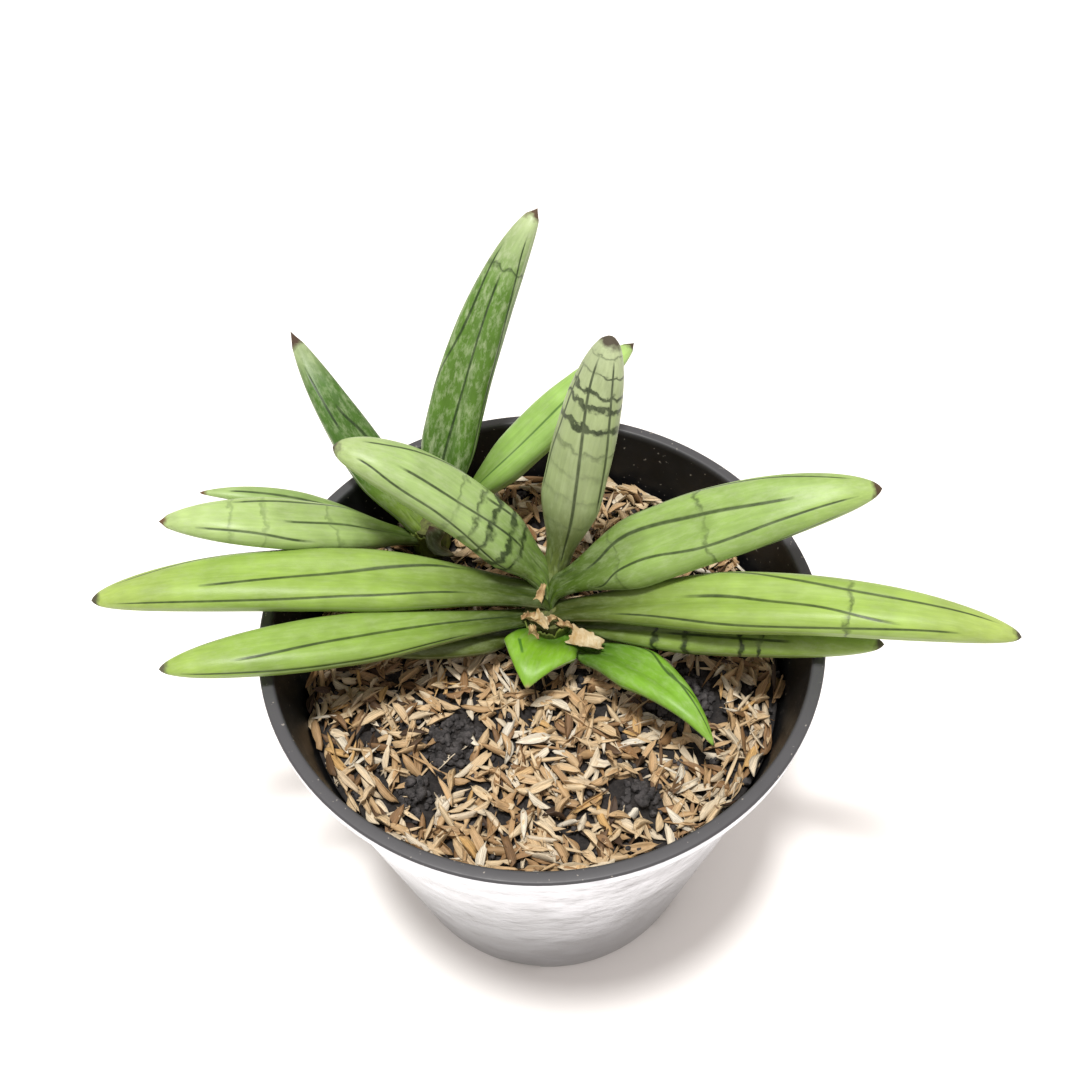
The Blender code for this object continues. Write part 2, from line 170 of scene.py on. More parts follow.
# %% Floor and light
FLOOR_REACH, PAINT_CLOUD = 3, 33.3 * MM    # metres to each side, and the size of the clouds in the paint
LAMP_AT, LAMP_AIM = Vector((-0.142, -0.225, 2.109)), Vector((0, 0, 0.009))
LAMP_DIAMETER, LAMP_WATTS, LAMP_COLOUR = 0.3, 46, (1.0, 0.985, 0.96)
WORLD_COLOUR, WORLD_STRENGTH = (1.0, 0.92, 0.87, 1), 0.8

bm = bmesh.new()
bmesh.ops.create_grid(bm, x_segments=1, y_segments=1, size=FLOOR_REACH)
mesh = bpy.data.meshes.new("floor")
bm.to_mesh(mesh)
bm.free()
# matt paint on board: it scatters all light evenly, so only the shadow shows on it
floor_paint, tree, shader = new_material("floor_matt_white_board", Roughness=0.8)
clouds = add(tree, "TexNoise", {"Scale": 1 / PAINT_CLOUD, "Detail": 2})
shade = add(tree, "ValToRGB", {"Fac": clouds}, stops=[(0.3, linear("#f4f2f1")), (0.7, linear("#fbfaf9"))])
tree.links.new(shade, shader.inputs["Base Color"])
mesh.materials.append(floor_paint)
floor = bpy.data.objects.new("floor", mesh)
bpy.context.scene.collection.objects.link(floor)

lamp = bpy.data.objects.new("overhead_lamp", bpy.data.lights.new("overhead_lamp", "AREA"))
lamp.data.shape, lamp.data.size, lamp.data.energy = "DISK", LAMP_DIAMETER, LAMP_WATTS
lamp.data.color = LAMP_COLOUR
aim = (LAMP_AT - LAMP_AIM).to_track_quat("Z", "Y")
lamp.matrix_world = Matrix.Translation(LAMP_AT) @ aim.to_matrix().to_4x4()
bpy.context.scene.collection.objects.link(lamp)
world = bpy.data.worlds.new("world")
bpy.context.scene.world = world
world.use_nodes = True
world.node_tree.nodes["Background"].inputs["Color"].default_value = WORLD_COLOUR
world.node_tree.nodes["Background"].inputs["Strength"].default_value = WORLD_STRENGTH
bpy.context.scene.view_settings.view_transform = "Standard"
print("lamp above the table:", round(LAMP_AT.z, 2), "m")

# %% [markdown]
# Every leaf of this plant is a round, tapering rod with a channel on its upper side near the foot, and
# grows along a gentle curve. It could be sculpted, but then its width and bend would be hard to set
# apart. Here a leaf is a row of real sizes: three points on its centre line, its greatest width and
# thickness, how far it is twisted and how deep the channel is, how wide the foot is, between which shares
# of its length it is at its fullest, and how blunt it ends, where 1 is a round end and -1 a straight-
# sided point. The solids are made from the same numbers, so a finer leaf keeps to its solid's outline.

# %% The leaf's form
Leaf = namedtuple("Leaf", "foot middle tip width thick roll channel foot_share full_from full_to blunt")
LEAVES = {
    "leaf_main_upright": Leaf((5.5, 20.5, 127), (12.5, 28, 163), (19.5, 34, 195),
                              18, 14, 180, 0.25, 0.45, 0.3, 0.45, 0.9),
    "leaf_main_banded": Leaf((0, 17.5, 125), (-25, 23, 153), (-52, 27.5, 167),
                             18.5, 13.5, 0, 0.3, 0.55, 0.2, 0.45, 0.8),
    "leaf_main_right_raised": Leaf((5.5, 12.5, 124.5), (46, 10, 152), (85.5, 8.5, 165),
                                   20.5, 15, 20, 0.5, 0.35, 0.27, 0.4, 0.5),
    "leaf_main_left_long": Leaf((-0.5, 12, 121), (-59.5, 7.1, 138.3), (-116.5, 0.5, 141),
                                19.6, 13.6, 0, 0.5, 0.45, 0.4, 0.42, 0.8),
    "leaf_main_right_long": Leaf((5, 8, 118.5), (61.5, -11, 145), (115, -25.5, 148),
                                 17.5, 13, 5, 0.5, 0.42, 0.38, 0.37, 0.7),
    "leaf_main_left_low": Leaf((-3, 7.5, 117), (-51, -9, 133), (-96, -19.5, 138),
                               15.5, 10.5, 0, 0.5, 0.4, 0.5, 0.55, 0.5),
    "leaf_main_right_low": Leaf((8, 5.5, 114.5), (48.5, -9, 129.5), (86, -19, 137),
                                13, 9.5, 0, 0.4, 0.4, 0.4, 0.45, 0.8),
    "leaf_main_left_under": Leaf((-6, 6, 112.5), (-25.5, 0, 118), (-50, -3, 121),
                                 11.5, 8, 0, 0.4, 0.5, 0.3, 0.5, 0.5),
    "leaf_main_front_short": Leaf((1.5, 0, 116), (-2, -9, 121), (-4.5, -17.5, 119),
                                  20.5, 7, 0, 0.8, 0.9, 0.3, 0.3, -1),
    "leaf_main_front_right": Leaf((15, -3, 113.5), (31.5, -21.5, 124.5), (42.5, -37.5, 121),
                                  14, 8.5, 0, 0.6, 0.75, 0.3, 0.3, -0.85),
    "leaf_pup_back_tall": Leaf((-30.5, 49, 117.5), (-17, 70.5, 160), (3, 88, 195),
                               17.5, 13, 0, 0.6, 0.65, 0.22, 0.3, 0.8),
    "leaf_pup_back_left": Leaf((-37, 44, 118), (-53, 53.5, 147), (-69, 76.5, 165),
                               14.5, 11.5, 0, 0.5, 0.6, 0.3, 0.25, 0),
    "leaf_pup_back_right": Leaf((-23.3, 51.6, 115.2), (3.5, 54.5, 147), (30, 75.5, 157),
                                15.5, 11.5, 0, 0.4, 0.5, 0.3, 0.4, 0.3),
    "leaf_pup_left": Leaf((-39, 40, 115), (-67, 21, 145), (-100, 19, 150),
                          15.5, 11, -8, 0.5, 0.45, 0.3, 0.5, 0.3),
    "leaf_pup_left_under": Leaf((-42, 46.5, 109), (-65.5, 34, 138.5), (-92, 31, 147.5),
                                7.5, 5, 0, 0.4, 0.4, 0.5, 0.5, 0),
    "leaf_pup_sheath": Leaf((-28.5, 35.5, 113), (-30, 35, 118.5), (-32, 38, 122),
                            8.5, 3, 0, 0.6, 0.9, 0.3, 0.35, 0),
}
CHANNEL_FLATTEN, CHANNEL_WIDTH, CHANNEL_FADE_FROM = 0.2, 0.5, 0.3


def smoothstep(t):
    t = min(1.0, max(0.0, t))
    return t * t * (3 - 2 * t)


def width_share(leaf, s):
    """How wide the leaf is at a share s of its length, as a share of its full width."""
    body = leaf.foot_share + (1 - leaf.foot_share) * smoothstep(s / leaf.full_from)
    past = max(0.0, (s - leaf.full_to) / (1 - leaf.full_to))
    return body * max(0.0, 1 - past ** (1.5 + 0.5 * leaf.blunt)) ** (0.7 - 0.2 * leaf.blunt)


def leaf_frame(leaf, s):
    """Centre, sideways and upward directions at a share s of the leaf's length, in millimetres."""
    foot, middle, tip = (Vector(p) for p in (leaf.foot, leaf.middle, leaf.tip))
    control = 2 * middle - (foot + tip) / 2
    centre = foot * (1 - s) ** 2 + control * 2 * s * (1 - s) + tip * s * s
    along = ((control - foot) * (1 - s) + (tip - control) * s).normalized()
    upward = (Vector((0, 0, 1)) - along * along.z).normalized()
    upward = Matrix.Rotation(math.radians(leaf.roll), 3, along) @ upward
    return centre, along.cross(upward), upward


def leaf_length(leaf):
    places = [leaf_frame(leaf, i / 20)[0] for i in range(21)]
    return sum((b - a).length for a, b in zip(places, places[1:]))


print("lengths in mm:", {name: round(leaf_length(leaf)) for name, leaf in LEAVES.items()})

# %% [markdown]
# On the real plant each leaf's foot clasps the ones inside it, so the leaves seem to come out of one
# point. The solids stop short of each other there. The finer leaves therefore run a few millimetres
# further, bending down and in toward the middle of their shoot, where they hide in each other.

# %% The feet's run into the shoot
ROOT_REACH = 8.0    # millimetres
ROOT_OVERRUN, ROOT_BEND = 1.3, 0.5    # shares of it, toward the shoot's middle and straight back
CORES = {"main": Vector((2, 8, 114)), "pup": Vector((-33, 44, 110))}


def root_centre(leaf, core, t):
    """Centre line of the foot's run down into its shoot, from the foot (t = 0) to its end (t = 1)."""
    foot = Vector(leaf.foot)
    backward = (foot - leaf_frame(leaf, 0.02)[0]).normalized()
    inward = core - foot
    end = foot + inward * min(1.0, ROOT_OVERRUN * ROOT_REACH / inward.length)
    control = foot + backward * ROOT_BEND * ROOT_REACH
    return foot * (1 - t) ** 2 + control * 2 * t * (1 - t) + end * t * t


print("one run ends at:", [round(c, 1) for c in root_centre(LEAVES["leaf_main_banded"], CORES["main"], 1)])

# %% [markdown]
# The dark markings are what this plant is grown for, and they were read off the photograph leaf by leaf.
# A line is a row of (place along, place around) points, where 0 around is the under side and 0.5 the upper
# side. On the real leaf it lies in a shallow furrow, so it will both darken the colour and cut the surface. A
# band is a dark stripe across the leaf, as (place along, half its width, strength). With them go the colours
# of the leaf's foot, body, tip and markings, the share of pale flecks, the length in millimetres and the
# colour of its dried point, and how pale its two edges are. The dark foot colours are partly the leaves' own
# deeper green and partly painted shade of the crowded crown.

# %% The markings
Look = namedtuple("Look", "foot body tip shade lines bands mottle point_mm point margin", defaults=[0.25])
LOOKS = {
    "leaf_main_left_long": Look("#4c5f1e", "#aed260", "#bbd66a", "#2c401a", [
        [(0.18, 0.40), (0.32, 0.45), (0.51, 0.52), (0.74, 0.575)],
        [(0.08, 0.31), (0.24, 0.32), (0.47, 0.325), (0.68, 0.34), (0.93, 0.42)],
        [(0.18, 0.61), (0.41, 0.65), (0.62, 0.68), (0.93, 0.675)],
        [(0.1, 0.8), (0.5, 0.83), (0.85, 0.8)],
        [(0.1, 0.15), (0.5, 0.12), (0.8, 0.17)]], [], 0.25, 2.2, "#5c5a42"),
    "leaf_main_right_long": Look("#4f5d1e", "#b2d464", "#c4dc72", "#2c401a", [
        [(0.25, 0.70), (0.36, 0.675), (0.51, 0.60), (0.70, 0.545), (0.93, 0.54)],
        [(0.3, 0.51), (0.38, 0.504), (0.47, 0.475), (0.56, 0.45), (0.72, 0.375)],
        [(0.15, 0.36), (0.5, 0.3), (0.85, 0.35)],
        [(0.1, 0.85), (0.5, 0.83), (0.85, 0.8)]], [(0.63, 0.008, 0.5)], 0.2, 2, "#5c5a42"),
    "leaf_main_left_low": Look("#485a1c", "#a4c95a", "#b4d564", "#2c401a", [
        [(0.05, 0.487), (0.28, 0.496), (0.53, 0.537), (0.79, 0.596)],
        [(0.3, 0.33), (0.6, 0.3), (0.9, 0.36)],
        [(0.2, 0.7), (0.55, 0.73), (0.93, 0.7)]], [], 0.25, 2.2, "#6b6a52"),
    # painted shade: this leaf's foot, body and tip colours are darkened all over for the shadow of left_low,
    # which lies above it
    "leaf_main_left_under": Look("#3f4a1a", "#66782e", "#7c903c", "#2c401a", [
        [(0.1, 0.5), (0.8, 0.55)], [(0.1, 0.3), (0.8, 0.35)]], [], 0.3, 2, "#54452f"),
    "leaf_main_right_low": Look("#54681f", "#9dbd54", "#a6c75c", "#26381a", [
        [(0.32, 0.43), (0.7, 0.40)], [(0.3, 0.55), (0.62, 0.53)], [(0.45, 0.65), (0.8, 0.6)]],
        [(0.29, 0.014, 0.8), (0.39, 0.016, 0.9), (0.555, 0.013, 0.9), (0.614, 0.01, 0.7)],
        0.3, 2, "#5c5a42"),
    "leaf_main_right_raised": Look("#567320", "#acd06e", "#bcdb7c", "#2a3d1a", [
        [(0.15, 0.70), (0.42, 0.70), (0.67, 0.658), (0.9, 0.604)],
        [(0.1, 0.512), (0.22, 0.562), (0.47, 0.537), (0.73, 0.496)],
        [(0.11, 0.304), (0.22, 0.425), (0.47, 0.383), (0.69, 0.396), (0.9, 0.412)],
        [(0.3, 0.2), (0.6, 0.22), (0.85, 0.28)],
        [(0.1, 0.85), (0.6, 0.85)]], [(0.475, 0.012, 0.45), (0.2, 0.01, 0.3)], 0.4, 2.2, "#5f4a34"),
    "leaf_main_banded": Look("#86a84e", "#bcdc88", "#c2dc8e", "#223616", [
        [(0.12, 0.75), (0.18, 0.75), (0.49, 0.696), (0.70, 0.683), (0.88, 0.629)],
        [(0.14, 0.525), (0.2, 0.525), (0.46, 0.562), (0.71, 0.562)],
        [(0.4, 0.32), (0.65, 0.40), (0.87, 0.458)],
        [(0.2, 0.41), (0.345, 0.429)],
        [(0.1, 0.2), (0.5, 0.18), (0.85, 0.25)]],
        [(0.145, 0.02, 0.8), (0.205, 0.022, 1.0), (0.29, 0.02, 1.0), (0.36, 0.016, 0.5),
         (0.45, 0.012, 0.3)],
        0.55, 1.8, "#6b6553", 0.4),
    "leaf_main_upright": Look("#82944c", "#c6da9c", "#d0e0ae", "#2e3d22", [
        [(0.3, 0.135), (0.46, 0.121), (0.65, 0.092), (0.86, 0.1)],
        [(0.01, 0.892), (0.51, 0.925), (0.92, 0.979)],
        [(0.3, 0.76), (0.44, 0.771), (0.70, 0.804), (0.91, 0.821)],
        [(0.2, 0.5), (0.8, 0.5)], [(0.2, 0.35), (0.8, 0.33)]],
        [(0.93, 0.006, 0.4), (0.865, 0.01, 0.7), (0.788, 0.014, 1.0), (0.734, 0.014, 1.0),
         (0.647, 0.018, 1.0), (0.54, 0.016, 0.3), (0.44, 0.02, 0.16), (0.33, 0.024, 0.18), (0.2, 0.02, 0.16)],
        0.5, 2.2, "#5d5546"),
    "leaf_pup_back_tall": Look("#528026", "#6c9a36", "#d4eaaa", "#1f3a12", [
        [(0.1, 0.51), (0.18, 0.496), (0.52, 0.454), (0.76, 0.442)],
        [(0.15, 0.26), (0.31, 0.254), (0.51, 0.246), (0.74, 0.283), (0.9, 0.338)],
        [(0.1, 0.71), (0.31, 0.696), (0.56, 0.571), (0.84, 0.562)]], [(0.79, 0.01, 0.5)],
        1.0, 3.0, "#6b5540", 0.7),
    "leaf_pup_back_left": Look("#b6dc62", "#56842a", "#c4d8a0", "#1f3a12", [
        [(0.53, 0.592), (0.64, 0.592), (0.8, 0.596)],
        [(0.2, 0.43), (0.47, 0.45), (0.61, 0.5)],
        [(0.2, 0.25), (0.8, 0.3)]], [], 0.6, 5, "#5a4636", 0.8),
    "leaf_pup_back_right": Look("#84ac40", "#b6e474", "#c6ec88", "#55803a", [
        [(0.1, 0.42), (0.8, 0.47)], [(0.15, 0.7), (0.7, 0.68)]], [], 0.3, 3, "#54452f"),
    "leaf_pup_left": Look("#7d9c40", "#c6e68c", "#cce896", "#2e4520", [
        [(0.45, 0.688), (0.635, 0.637), (0.82, 0.629)],
        [(0.06, 0.554), (0.29, 0.508), (0.51, 0.529)],
        [(0.2, 0.36), (0.7, 0.4)]], [(0.35, 0.014, 0.25), (0.6, 0.014, 0.25), (0.72, 0.012, 0.25)],
        0.5, 3, "#7a5a3a"),
    "leaf_pup_left_under": Look("#84a04c", "#b0d27a", "#c2df90", "#2e4520", [
        [(0.3, 0.5), (0.85, 0.52)]], [], 0.3, 2, "#7a5a3a"),
    "leaf_main_front_short": Look("#6a9c22", "#92cc30", "#9cd640", "#3f7a22", [
        [(0.3, 0.40), (0.5, 0.42)]], [], 0.25, 0.8, "#c9b87c", 0.9),
    "leaf_main_front_right": Look("#6a9c2c", "#90ca3c", "#a2d550", "#30521c", [
        [(0.1, 0.68), (0.25, 0.66), (0.47, 0.583), (0.71, 0.642)],
        [(0.45, 0.60), (0.55, 0.592), (0.925, 0.562)]], [], 0.35, 1.2, "#4a5a22", 0.3),
    "leaf_pup_sheath": Look("#6a5a34", "#4f5a2c", "#6b5a3a", "#2f3a1c", [], [], 0.5, 1.0, "#5a4330"),
}
print("lines:", sum(len(look.lines) for look in LOOKS.values()),
      "bands:", sum(len(look.bands) for look in LOOKS.values()))

# %% [markdown]
# A rod with a point could be spun or skinned, but a grid that is bent round into a tube keeps two useful
# things: across the grid runs round the leaf, starting below, and up the grid runs from foot to tip, so
# its UVs say where on the leaf a point lies. A second set of coordinates is kept on each point: where it
# would be on the same leaf laid straight, in millimetres. Noise that reads them runs along the leaf
# without a seam and without stretching where the leaf bends. The last millimetres are the dried point,
# where the leaf narrows in a straight cone.

# %% Bend the grids
SWELL, FURROW_DEPTH = 0.018, 0.018    # shares of the leaf's half width
FURROW_HALF = 0.012    # as a share of the way round
SLIM = 9    # a leaf of up to this many millimetres across needs fewer faces


def path(line, at):
    """Place around the leaf of a line of markings at a place along it."""
    for (v0, u0), (v1, u1) in zip(line, line[1:]):
        if v0 <= at <= v1:
            return u0 + (u1 - u0) * (at - v0) / (v1 - v0)
    return line[-1][1]


def full_share(leaf, look, s, length):
    """The leaf's width share, also in the foot's run-in, where s is below 0, and in the dried point."""
    point_at = 1 - look.point_mm / length
    if s < 0:
        run = -s * length / ROOT_REACH
        rounded = max(0.0, (run - 0.7) / 0.3)
        return width_share(leaf, 0.0) * (1 - 0.35 * run) * math.sqrt(max(0.0, 1 - rounded ** 2))
    if s > point_at:
        power = 0.7 if look.point_mm < 3 else 1.1
        return width_share(leaf, point_at) * max(0.0, 1 - (s - point_at) / (1 - point_at)) ** power
    return width_share(leaf, s)


def leaf_piece(name, leaf, look, material):
    length = leaf_length(leaf)
    foot_reach = ROOT_REACH / length
    core = CORES["main" if "_main_" in name else "pup"]
    seed = sum(ord(c) for c in name)
    around, along = (96, 3 * round(length / 2)) if leaf.width > SLIM else (48, round(length))
    bm = bmesh.new()
    bm.loops.layers.uv.new("UVMap")
    bmesh.ops.create_grid(bm, x_segments=around, y_segments=along, size=0.5, calc_uvs=True)
    straight = bm.verts.layers.float_vector.new("straight")
    for vert in bm.verts:
        u, v = vert.co.x + 0.5, vert.co.y + 0.5
        s = -foot_reach + v * (1 + foot_reach)
        inside = max(0.0, s)
        angle = 2 * math.pi * u - math.pi / 2
        side, lift = math.cos(angle), math.sin(angle)
        if lift > 0:
            fade = 1 - smoothstep((inside - CHANNEL_FADE_FROM) / (1 - CHANNEL_FADE_FROM))
            channel = leaf.channel * math.exp(-(side / CHANNEL_WIDTH) ** 2)
            lift = lift * (1 - CHANNEL_FLATTEN * fade) - channel * fade
        swell = 1 + SWELL * noise.noise(Vector((seed, side, 6 * inside)))
        furrow = sum(math.exp(-((u - path(line, inside)) / FURROW_HALF) ** 2) for line in look.lines
                     if line[0][0] < inside < line[-1][0])
        share = full_share(leaf, look, s, length) * (swell - FURROW_DEPTH * furrow)
        half_width, half_thick = leaf.width / 2 * share, leaf.thick / 2 * share
        centre, sideways, upward = leaf_frame(leaf, inside)
        if s < 0:
            centre = root_centre(leaf, core, -s / foot_reach)
        vert[straight] = (side * half_width, lift * half_thick, s * length)
        vert.co = (centre + sideways * side * half_width + upward * lift * half_thick) * MM
    bmesh.ops.remove_doubles(bm, verts=bm.verts, dist=0.002 * MM)
    return finish_piece(name + "_grown", bm, [material], [name])


print("faces of the longest leaf:", 96 * 3 * round(max(leaf_length(leaf) for leaf in LEAVES.values()) / 2))

# %% [markdown]
# Under its wax the green of a leaf is drawn out in fine lengthwise streaks, strewn with pale flecks and
# slowly cloudy. Each of these is a noise, read on the straightened leaf in millimetres, so its scale is a
# real size. Squeezing the coordinates along the leaf before a noise reads them draws its blobs out into
# streaks.

# %% The leaf's patterns
STREAK, FLECK, CLOUD, WAVER, GRAIN = 0.833, 1.667, 8.33, 2.857, 0.25    # each pattern's size in millimetres
STREAK_SQUEEZE, FLECK_SQUEEZE = 0.05, 0.4    # so a streak is 20 times as long as it is wide
WAVER_REACH = 2.6    # how far a band's edge strays along the leaf, in millimetres
Patterns = namedtuple("Patterns", "place u v wavy streaks flecks clouds")


def leaf_patterns(tree, length):
    """Node outputs for where a point lies on the straightened leaf, and for the noises there."""
    place = add(tree, "Attribute", attribute_name="straight").node.outputs["Vector"]
    u = add(tree, "SeparateXYZ", {0: add(tree, "UVMap", uv_map="UVMap")}).node.outputs["X"]
    from_foot = add(tree, "SeparateXYZ", {0: place}).node.outputs["Z"]
    v = add(tree, "Math", {0: from_foot, 1: 1 / length}, operation="MULTIPLY")
    squeezed = add(tree, "VectorMath", {0: place, 1: (1, 1, STREAK_SQUEEZE)}, operation="MULTIPLY")
    streaks = add(tree, "TexNoise", {"Vector": squeezed, "Scale": 1 / STREAK, "Detail": 3, "Roughness": 0.6})
    squeezed = add(tree, "VectorMath", {0: place, 1: (1, 1, FLECK_SQUEEZE)}, operation="MULTIPLY")
    flecks = add(tree, "TexNoise", {"Vector": squeezed, "Scale": 1 / FLECK, "Detail": 5, "Roughness": 0.72})
    clouds = add(tree, "TexNoise", {"Vector": place, "Scale": 1 / CLOUD, "Detail": 2})
    waver = add(tree, "TexNoise", {"Vector": place, "Scale": 1 / WAVER, "Detail": 3})
    waver = add(tree, "MapRange", {"Value": waver, 3: -WAVER_REACH / length, 4: WAVER_REACH / length})
    wavy = add(tree, "Math", {0: v, 1: waver}, operation="ADD")
    return Patterns(place, u, v, wavy, streaks, flecks, clouds)


print("streaks across a broad leaf:", round(20 / STREAK))

# %% [markdown]
# The markings could be painted on a picture, but then they would blur close up. Worked out by nodes they
# stay crisp. A colour ramp over the wavy place along the leaf gives the cross-bands. For a line, a curve
# node turns the place along the leaf into the line's place around it, and what lies close to that place
# is dark. The way round closes on itself, so the distance is folded over at half a turn.

# %% The leaf's bands and lines
LINE_HALF = 0.42    # half the width of a line, in millimetres


def band_darkness(tree, look, patterns):
    """Stripes across the leaf, sharper toward the tip, that break off where the clouds are thin."""
    stops = [(0.0, BLACK)]
    for at, half, strength in sorted(look.bands):
        stops += [(at - half * 1.2, BLACK), (at, (strength,) * 3 + (1,)), (at + half * 0.7, BLACK)]
    bands = add(tree, "ValToRGB", {"Fac": patterns.wavy}, stops=stops)
    breaks = add(tree, "MapRange", {"Value": patterns.clouds, 1: 0.36, 2: 0.5, 3: 0.75, 4: 1.8})
    return add(tree, "Math", {0: bands, 1: breaks}, operation="MULTIPLY", use_clamp=True)


def line_darkness(tree, leaf, points, patterns):
    """A thin line along the leaf, through its points, that fades in and out at its two ends."""
    curve = add(tree, "FloatCurve", {"Value": patterns.v})
    bend = curve.node.mapping.curves[0]
    bend.points[0].location, bend.points[1].location = (0, points[0][1]), (1, points[-1][1])
    for at, where in points:
        bend.points.new(at, where)
    curve.node.mapping.update()
    off = add(tree, "Math", {0: patterns.u, 1: curve}, operation="SUBTRACT")
    off = add(tree, "Math", {0: off, 1: 0.5}, operation="PINGPONG")
    half = LINE_HALF / (math.pi * (leaf.width + leaf.thick) / 2)
    edge = add(tree, "MapRange", {"Value": off, 1: half * 0.5, 2: half * 1.5, 3: 1.0, 4: 0.0},
               interpolation_type="SMOOTHSTEP")
    first, last = points[0][0], points[-1][0]
    run = add(tree, "ValToRGB", {"Fac": patterns.wavy}, stops=[
        (max(0.0, first - 0.03), BLACK), (first + 0.03, WHITE), ((first + last) / 2, (0.9, 0.9, 0.9, 1)),
        (last - 0.03, WHITE), (min(1.0, last + 0.02), BLACK)])
    return add(tree, "Math", {0: edge, 1: run}, operation="MULTIPLY")


def leaf_darkness(tree, leaf, look, patterns):
    """All the markings as one value: dark streaks that fan out of the foot, bands and lines."""
    near_foot = add(tree, "MapRange", {"Value": patterns.v, 1: 0.03, 2: 0.2, 3: 0.55, 4: 0.0})
    fan = add(tree, "MapRange", {"Value": patterns.streaks, 1: 0.5, 2: 0.62, 3: 0.0, 4: 1.0})
    dark = add(tree, "Math", {0: fan, 1: near_foot}, operation="MULTIPLY")
    if look.bands:
        dark = add(tree, "Math", {0: dark, 1: band_darkness(tree, look, patterns)}, operation="MAXIMUM")
    for points in look.lines:
        line = line_darkness(tree, leaf, points, patterns)
        dark = add(tree, "Math", {0: line, 1: dark}, operation="MAXIMUM")
    worn = add(tree, "MapRange", {"Value": patterns.flecks, 1: 0.3, 2: 0.6, 3: 1.0, 4: 0.8})
    return add(tree, "Math", {0: dark, 1: worn}, operation="MULTIPLY")


print("a line is", 2 * LINE_HALF, "mm wide")

# %% [markdown]
# The skin of the leaf is a living one under a thick wax: smooth, so its shine is broad and soft. One
# recipe fed with each leaf's own colours and markings keeps the leaves of one plant alike. It is laid on
# in the order in which the eye meets it from below: the colour from foot to tip, clouds and streaks, pale
# flecks, pale edges, dark markings and the dried point. The same streaks and markings make a very fine
# relief.

# %% The leaf's skin
PALE = lit("#dceebd")


def leaf_colour(tree, look, patterns, dark, dry):
    """The leaf's colour, built up layer by layer."""
    # the dark foot colour is partly the leaf's own deeper green and partly painted shade from the leaves
    # crowded round it at the crown
    colour = add(tree, "ValToRGB", {"Fac": patterns.v}, stops=[
        (0.0, lit(look.foot)), (0.06, lit(look.foot)), (0.34, lit(look.body)), (0.72, lit(look.body)),
        (0.97, lit(look.tip))])
    cloud_tone = add(tree, "MapRange", {"Value": patterns.clouds, 1: 0.3, 2: 0.7, 3: 0.86, 4: 1.1})
    streak_tone = add(tree, "MapRange", {"Value": patterns.streaks, 1: 0.25, 2: 0.75, 3: 0.88, 4: 1.12})
    tone = add(tree, "Math", {0: cloud_tone, 1: streak_tone}, operation="MULTIPLY")
    colour = add(tree, "VectorMath", {0: colour, "Scale": tone}, operation="SCALE")
    flecked = add(tree, "MapRange", {
        "Value": patterns.flecks, 1: 0.46, 2: 0.66, 3: 0.0, 4: 0.6 * look.mottle})
    colour = add(tree, "Mix", {"Factor": flecked, "A": colour, "B": PALE}, data_type="RGBA")
    edge = add(tree, "Math", {0: patterns.u, 1: 0.25}, operation="SUBTRACT")
    edge = add(tree, "Math", {0: edge, 1: 0.25}, operation="PINGPONG")
    edge = add(tree, "MapRange", {"Value": edge, 1: 0.004, 2: 0.016, 3: look.margin, 4: 0.0})
    colour = add(tree, "Mix", {"Factor": edge, "A": colour, "B": PALE}, data_type="RGBA")
    colour = add(tree, "Mix", {"Factor": dark, "A": colour, "B": lit(look.shade)}, data_type="RGBA")
    return add(tree, "Mix", {"Factor": dry, "A": colour, "B": lit(look.point)}, data_type="RGBA")


def leaf_skin(name, leaf, look):
    """Wax gives the eye a soft broad shine on the upper sides, duller on the dried point."""
    material, tree, shader = new_material("snake_plant_leaf_waxy_" + name[5:], IOR=1.42)
    length = leaf_length(leaf)
    patterns = leaf_patterns(tree, length)
    dark = leaf_darkness(tree, leaf, look, patterns)
    point_at = 1 - look.point_mm / length
    dry = add(tree, "MapRange", {
        "Value": patterns.wavy, 1: point_at - 1.2 / length, 2: point_at + 0.6 / length})
    tree.links.new(leaf_colour(tree, look, patterns, dark, dry), shader.inputs["Base Color"])
    gloss = add(tree, "MapRange", {"Value": patterns.streaks, 3: 0.34, 4: 0.5})
    gloss = add(tree, "Math", {0: gloss, 1: dry, 2: gloss}, operation="MULTIPLY_ADD")
    tree.links.new(gloss, shader.inputs["Roughness"])
    grain = add(tree, "TexNoise", {"Vector": patterns.place, "Scale": 1 / GRAIN, "Detail": 2})
    relief = add(tree, "Math", {0: patterns.streaks, 1: 0.8, 2: grain}, operation="MULTIPLY_ADD")
    relief = add(tree, "Math", {0: dark, 1: -0.9, 2: relief}, operation="MULTIPLY_ADD")
    bump = add(tree, "Bump", {"Height": relief, "Strength": 0.35, "Distance": 0.12 * MM})
    tree.links.new(bump, shader.inputs["Normal"])
    return material


for name, leaf in LEAVES.items():
    leaf_piece(name, leaf, LOOKS[name], leaf_skin(name, leaf, LOOKS[name]))

# %% [markdown]
# The pot is a thin nursery pot, moulded in one piece: black inside, with a lip round its rim, a raised
# floor and a pad in the middle that carries it. Such a turned shape is best drawn as half its section and
# spun. The section's long straight stretches get points in between, so that the faces stay even, and its
# corners are short arcs, because a moulded edge is never sharp.

# %% The pot's section
POT_HEIGHT, POT_TOP, POT_FOOT, WALL = 130, 75, 51.5, 1.5
LIP_WIDTH, LIP_DEPTH, FLOOR_HEIGHT, FLOOR_THICK = 3.4, 4, 4, 2
EDGE, MOUTH_EDGE, WALL_END = 0.7, 0.8, 0.8    # corner radii, and the height at which the wall's line ends
FOOT_RING, PAD = 3, 10    # the foot ring's width and the middle pad's radius


def wall_radius(height):
    return POT_FOOT + (POT_TOP - LIP_WIDTH + WALL - POT_FOOT) * height / POT_HEIGHT


def between(a, b, steps):
    """Points in even steps from a up to but not including b, for a section."""
    return [(a[0] + (b[0] - a[0]) * i / steps, a[1] + (b[1] - a[1]) * i / steps) for i in range(steps)]


